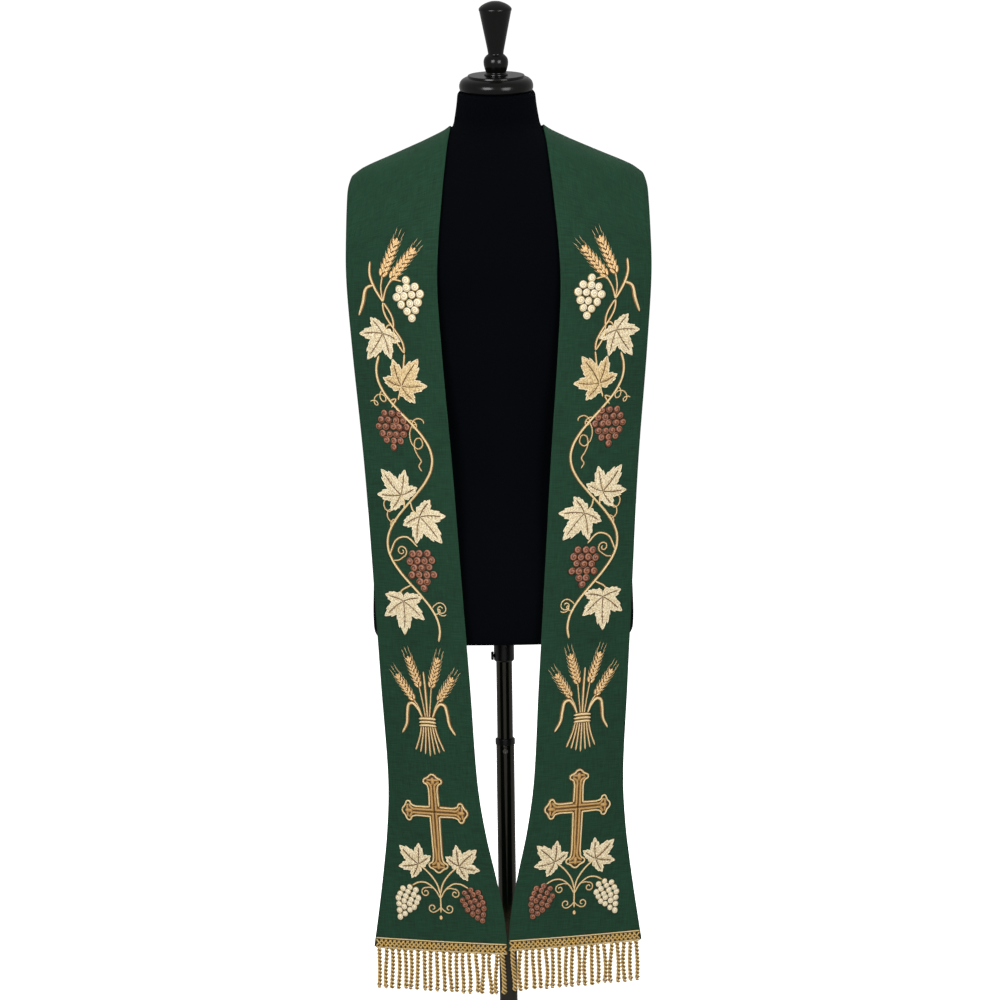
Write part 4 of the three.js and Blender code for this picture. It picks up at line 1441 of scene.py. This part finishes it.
@dataclass
class Fringe:
    """The twisted bullion that hangs from a hem."""

    panel: Panel
    count: int = 20
    length: float = 60.5
    ply: float = 1.9
    twist: float = 10.5
    ring_step: float = 0.9

    def build(self) -> bpy.types.Object:
        """Build and dress every strand as two plies wound round each other."""
        rng = random.Random(SEED * 3 + self.panel.side.value)
        shape = Shape()
        for k in range(self.count):
            top = self.panel.hem((k + 0.5) / self.count * 0.975 + 0.0125)
            self._strand(shape, top, rng)
        piece = shape.finish(f"{self.panel.side.word}_bullion", "form", Finish.FRINGE)
        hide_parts(f"fringe_{self.panel.side.word}")
        return piece

    def _strand(self, shape: Shape, top: np.ndarray, rng: random.Random) -> None:
        """Add one strand.

        Args:
            shape: What it is added to.
            top: Where it leaves the hem.
            rng: Gives its small unevenness.
        """
        length = self.length * rng.uniform(0.975, 1.01)
        down = np.linspace(0, length, round(length / self.ring_step))
        phase, sway, lean = rng.uniform(0, math.tau), rng.uniform(-1.5, 1.5), rng.uniform(-1.4, 1.4)
        close = np.clip((length - down) / 4.5, 0, 1)
        bulge = 1 + 0.5 * np.exp(-(((length - down - 4.0) / 2.6) ** 2))
        wind = self.ply * 0.86 * np.sqrt(close) * bulge
        angle = phase + math.tau * down / self.twist
        centre = np.stack([
            top[0] + sway * np.sin(down / 13 + phase) + lean * down / length,
            top[1] + 0.3 * np.cos(down / 21 + phase),
            top[2] + 2.0 - down,
        ], axis=1)
        angles = np.linspace(0, math.tau, 9)
        size = self.ply * np.sqrt(np.clip(np.minimum(down + 0.2, length - down) / 1.2, 0, 1))
        around = (angles + math.pi / 2) * self.ply  # the side that faces away from the other ply is light, and the side towards it is in painted shade
        for half in (0, math.pi):
            axis = np.stack([np.cos(angle + half), np.sin(angle + half), 0 * angle], axis=1) * wind[:, None]
            turns = angle[:, None] + half + angles[None, :]
            ring = np.stack([np.cos(turns), np.sin(turns), 0 * turns], axis=2)
            points = (centre + axis)[:, None, :] + ring * size[:, None, None]
            points[:, -1] = points[:, 0]
            uvs = np.stack(np.broadcast_arrays(down[:, None], around[None, :]), axis=2)
            shape.add_grid(points, uvs)


# ---------------------------------------------------------------- stand


@dataclass
class Stand:
    """The pole, its collars and screws, and the floor plate."""

    shape: TorsoShape
    mast: float = 11.0
    mast_bottom: float = 280.0
    tube: float = 12.5
    tube_bore: float = 11.4
    tube_top: float = 600.0
    ring: float = 13.6
    ring_top: float = 608.5
    collar: float = 14.0
    collar_bottom: float = 716.0
    socket_bore: float = 11.6
    socket_depth: float = 240.0
    plate_step: float = 16.0
    gap: float = 0.3

    def build(self) -> None:
        """Build and dress every piece of it."""
        floor = self.shape.BOTTOM
        bore, collar, low = self.socket_bore, self.collar, self.collar_bottom
        mast_top = floor + self.socket_depth - self.gap
        tube_foot = self.plate_step + self.gap
        self._piece("mast_tube", "mast", "mast", Finish.DARK_CHROME, [
            (0, self.mast_bottom), (self.mast, self.mast_bottom), (self.mast, mast_top), (0, mast_top)])
        self._piece("lower_tube_wall", "stand", "lower_tube", Finish.DARK_CHROME, [
            (self.tube_bore, tube_foot), (self.tube, tube_foot), (self.tube, self.tube_top - self.gap),
            (self.tube_bore, self.tube_top - self.gap), (self.tube_bore, tube_foot)])
        self._piece("clamp_ring", "stand", "ring_collar", Finish.BLACK_METAL, [
            (self.tube_bore, self.tube_top), (self.ring, self.tube_top), (self.ring, self.ring_top - 0.8),
            (self.ring - 0.8, self.ring_top), (self.tube_bore, self.ring_top),
            (self.tube_bore, self.tube_top)])
        self._piece("socket", "form", "socket_collar", Finish.BLACK_METAL, [
            (bore, low), (collar - 2, low), (collar, low + 2),
            (collar, floor - self.gap), (bore, floor - self.gap), (bore, low)])
        self._piece("floor_plate", "stand", "base", Finish.BLACK_METAL, [
            (0, 0), (168.6, 0), (170, 1.4), (170, 7), (168.5, 10.5), (165, 12), (36, 12),
            (33.2, 13.2), (32, self.plate_step), (26, 41), (23, 44), (12.8, 44),
            (12.8, self.plate_step), (0, self.plate_step)], steps=128, soft=1.6)
        self._screw("hand_screw", "thumb_screw", "thumb_screw", 14.3, 6.0, 3.6, Matrix.Translation(
            (0, 0, 723.5)) @ Matrix.Rotation(math.pi, 4, "Z"), Finish.BLACK_METAL)
        self._screw("ring_screw", "clamp_screw", "clamp_screw", 12.8, 3.6, 2.2, Matrix.Translation(
            (0, 0, 592)) @ Matrix.Rotation(-math.pi / 2, 4, "Z"), Finish.GREY_SCREW)

    def _piece(self, name: str, body: str, node: str, finish: object, profile: list,
               steps: int = 72, soft: float = 0.6) -> None:
        """Turn a profile, dress it and let it stand for a node.

        Args:
            name: The piece's name.
            body: The body it moves with.
            node: The node it stands for.
            finish: What it is made of.
            profile: Its [radius, height] pairs.
            steps: The facets round.
            soft: How far its corners are rounded.
        """
        shape = Shape()
        shape.turned(rounded(profile, soft), steps)
        piece = shape.finish(name, body, finish, sharp=52)
        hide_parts(node)

    def _screw(self, name: str, body: str, node: str, start: float, head: float, length: float,
               place: Matrix, finish: object) -> None:
        """Make a screw along +X with a knurled, dished head, and put it in place.

        Args:
            name: The piece's name.
            body: The body it moves with.
            node: The node it stands for.
            start: Where its head starts.
            head: The head's radius.
            length: The head's length.
            place: Takes it to its place.
            finish: What it is made of.
        """
        shape = Shape()
        shank, tip, end, dish = 2.5, self.mast + self.gap, start + length, start + length * 0.86
        profile = [(0, tip), (shank, tip), (shank, start), (head * 0.85, start), (head, start + 0.5),
                   (head, start + length * 0.7), (head * 0.86, end), (head * 0.5, end),
                   (head * 0.42, dish), (0, dish)]
        shape.turned(rounded(profile, 0.35), 64)
        for vertex in shape.bm.verts:
            away = math.hypot(vertex.co.x, vertex.co.y)
            if away > head * 0.97:
                ridge = 1 - 0.05 * (0.5 + 0.5 * math.cos(16 * math.atan2(vertex.co.y, vertex.co.x)))
                vertex.co.x, vertex.co.y = vertex.co.x * ridge, vertex.co.y * ridge
        shape.move(place @ Matrix.Rotation(math.pi / 2, 4, "Y"))
        piece = shape.finish(name, body, finish, sharp=45)
        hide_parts(node)


# ---------------------------------------------------------------- stage


@dataclass(frozen=True)
class Softbox:
    """A large soft light that faces a point."""

    name: str
    place: tuple
    aim: tuple
    size: tuple
    power: float
    seen: bool = True  # whether gloss shows it

    def build(self) -> None:
        """Put the light in the scene."""
        data = bpy.data.lights.new(self.name, "AREA")
        data.shape, data.size, data.size_y, data.energy = "RECTANGLE", *self.size, self.power
        light = bpy.data.objects.new(self.name, data)
        light.location = self.place
        light.visible_glossy = self.seen
        way = Vector(self.aim) - Vector(self.place)
        light.rotation_euler = way.to_track_quat("-Z", "Y").to_euler()
        bpy.context.scene.collection.objects.link(light)


@dataclass
class Stage:
    """The pale floor, the white surround, the lights and the camera."""

    floor_radius: float = 9.0
    eye: tuple = (0.0, -3.6, 1.305)
    drop_over_run: float = (1.305 - 0.939) / 3.6
    lean: float = math.radians(0.79)
    lens: float = 95.08
    sideways: float = -0.0019
    room_light: float = 0.36
    white: float = 1.02
    softboxes: tuple = (
        Softbox("key", (-1.3, -2.5, 2.0), (0, 0, 1.15), (1.3, 1.3), 52),
        Softbox("fill", (1.5, -2.5, 1.7), (0, 0, 1.05), (1.2, 1.5), 40),
        Softbox("top", (0, 0.6, 3.6), (0, 0, 0), (3.0, 3.0), 50, seen=False),
        Softbox("behind", (0.6, 3.0, 2.2), (0, 0, 0.9), (2.0, 1.6), 34, seen=False),
    )

    def build(self) -> None:
        """Build all of it."""
        scene = bpy.context.scene
        scene.view_settings.view_transform = "Standard"
        world = bpy.data.worlds.new("studio")
        world.use_nodes = True
        inputs = world.node_tree.nodes["Background"].inputs
        inputs["Color"].default_value = (1, 1, 1, 1)
        inputs["Strength"].default_value = self.room_light
        scene.world = world
        self._floor()
        self._dome()
        for softbox in self.softboxes:
            softbox.build()
        self._camera()

    def _floor(self) -> None:
        """A pale floor that fades into white away from the object."""
        bm = bmesh.new()
        bmesh.ops.create_circle(bm, cap_ends=True, segments=64, radius=self.floor_radius)
        sheet = NodeSheet("floor")
        cloudy = sheet.noise(sheet.place(), 3.0, 3)
        rough = sheet.sum_of("MULTIPLY_ADD", cloudy, 0.1, 0.7)
        away = sheet.add("VectorMath", {0: sheet.place()}, operation="LENGTH").outputs["Value"]
        glow = sheet.sum_of("MULTIPLY_ADD", sheet.between(away, 0.1, 2.4), 0.62, 0.4)
        sheet.fill(sheet.shader, {
            "Base Color": paint("F6F6F6"), "Roughness": rough, "Specular IOR Level": 0.1,
            "Emission Color": (1, 1, 1, 1), "Emission Strength": glow,
        })
        floor = self._staged("floor", bm, sheet)
        floor.visible_diffuse = floor.visible_glossy = False

    def _dome(self) -> None:
        """A white dome round the floor that only the camera sees."""
        bm = bmesh.new()
        bmesh.ops.create_uvsphere(bm, u_segments=64, v_segments=32, radius=self.floor_radius)
        bmesh.ops.reverse_faces(bm, faces=bm.faces)
        sheet = NodeSheet("surround")
        sheet.fill(sheet.shader, {
            "Base Color": (0, 0, 0, 1), "Emission Color": (1, 1, 1, 1), "Emission Strength": self.white})
        dome = self._staged("surround", bm, sheet)
        dome.visible_diffuse = dome.visible_glossy = dome.visible_shadow = False

    @staticmethod
    def _staged(name: str, bm: bmesh.types.BMesh, sheet: NodeSheet) -> bpy.types.Object:
        """Make a mesh a part of the stage.

        Args:
            name: Its name.
            bm: The mesh, which is used up.
            sheet: What it is made of.

        Returns:
            The new object.
        """
        mesh = bpy.data.meshes.new(name)
        bm.to_mesh(mesh)
        bm.free()
        mesh.materials.append(sheet.material)
        obj = bpy.data.objects.new(name, mesh)
        bpy.context.scene.collection.objects.link(obj)
        return obj

    def _camera(self) -> None:
        """The camera, a little above the chest and tipped down."""
        data = bpy.data.cameras.new("camera")
        data.lens, data.sensor_width, data.shift_x = self.lens, 36.0, self.sideways
        data.clip_end = 100.0
        camera = bpy.data.objects.new("camera", data)
        pitch = math.pi / 2 - math.atan(self.drop_over_run)
        aim = Matrix.Rotation(pitch, 4, "X") @ Matrix.Rotation(-self.lean, 4, "Z")
        camera.matrix_world = Matrix.Translation(self.eye) @ aim
        bpy.context.scene.collection.objects.link(camera)
        bpy.context.scene.camera = camera


def main() -> None:
    """Build the object and the stage."""
    logging.basicConfig(level=logging.INFO, format="%(message)s")
    Stage().build()
    torso = TorsoShape()
    DressForm(torso).build()
    Stand(torso).build()
    embroidery = Embroidery()
    for side in Side:
        panel = Panel(torso, side)
        cloth = StoleCloth(panel).build()
        trim = [*Braid(panel).build(), Fringe(panel).build()]
        stitched = embroidery.lay(panel)
        log.info("%s half: flat area %.4f", side.word, panel.flat_area())
    log.info("built")


if __name__ == "__main__":
    main()
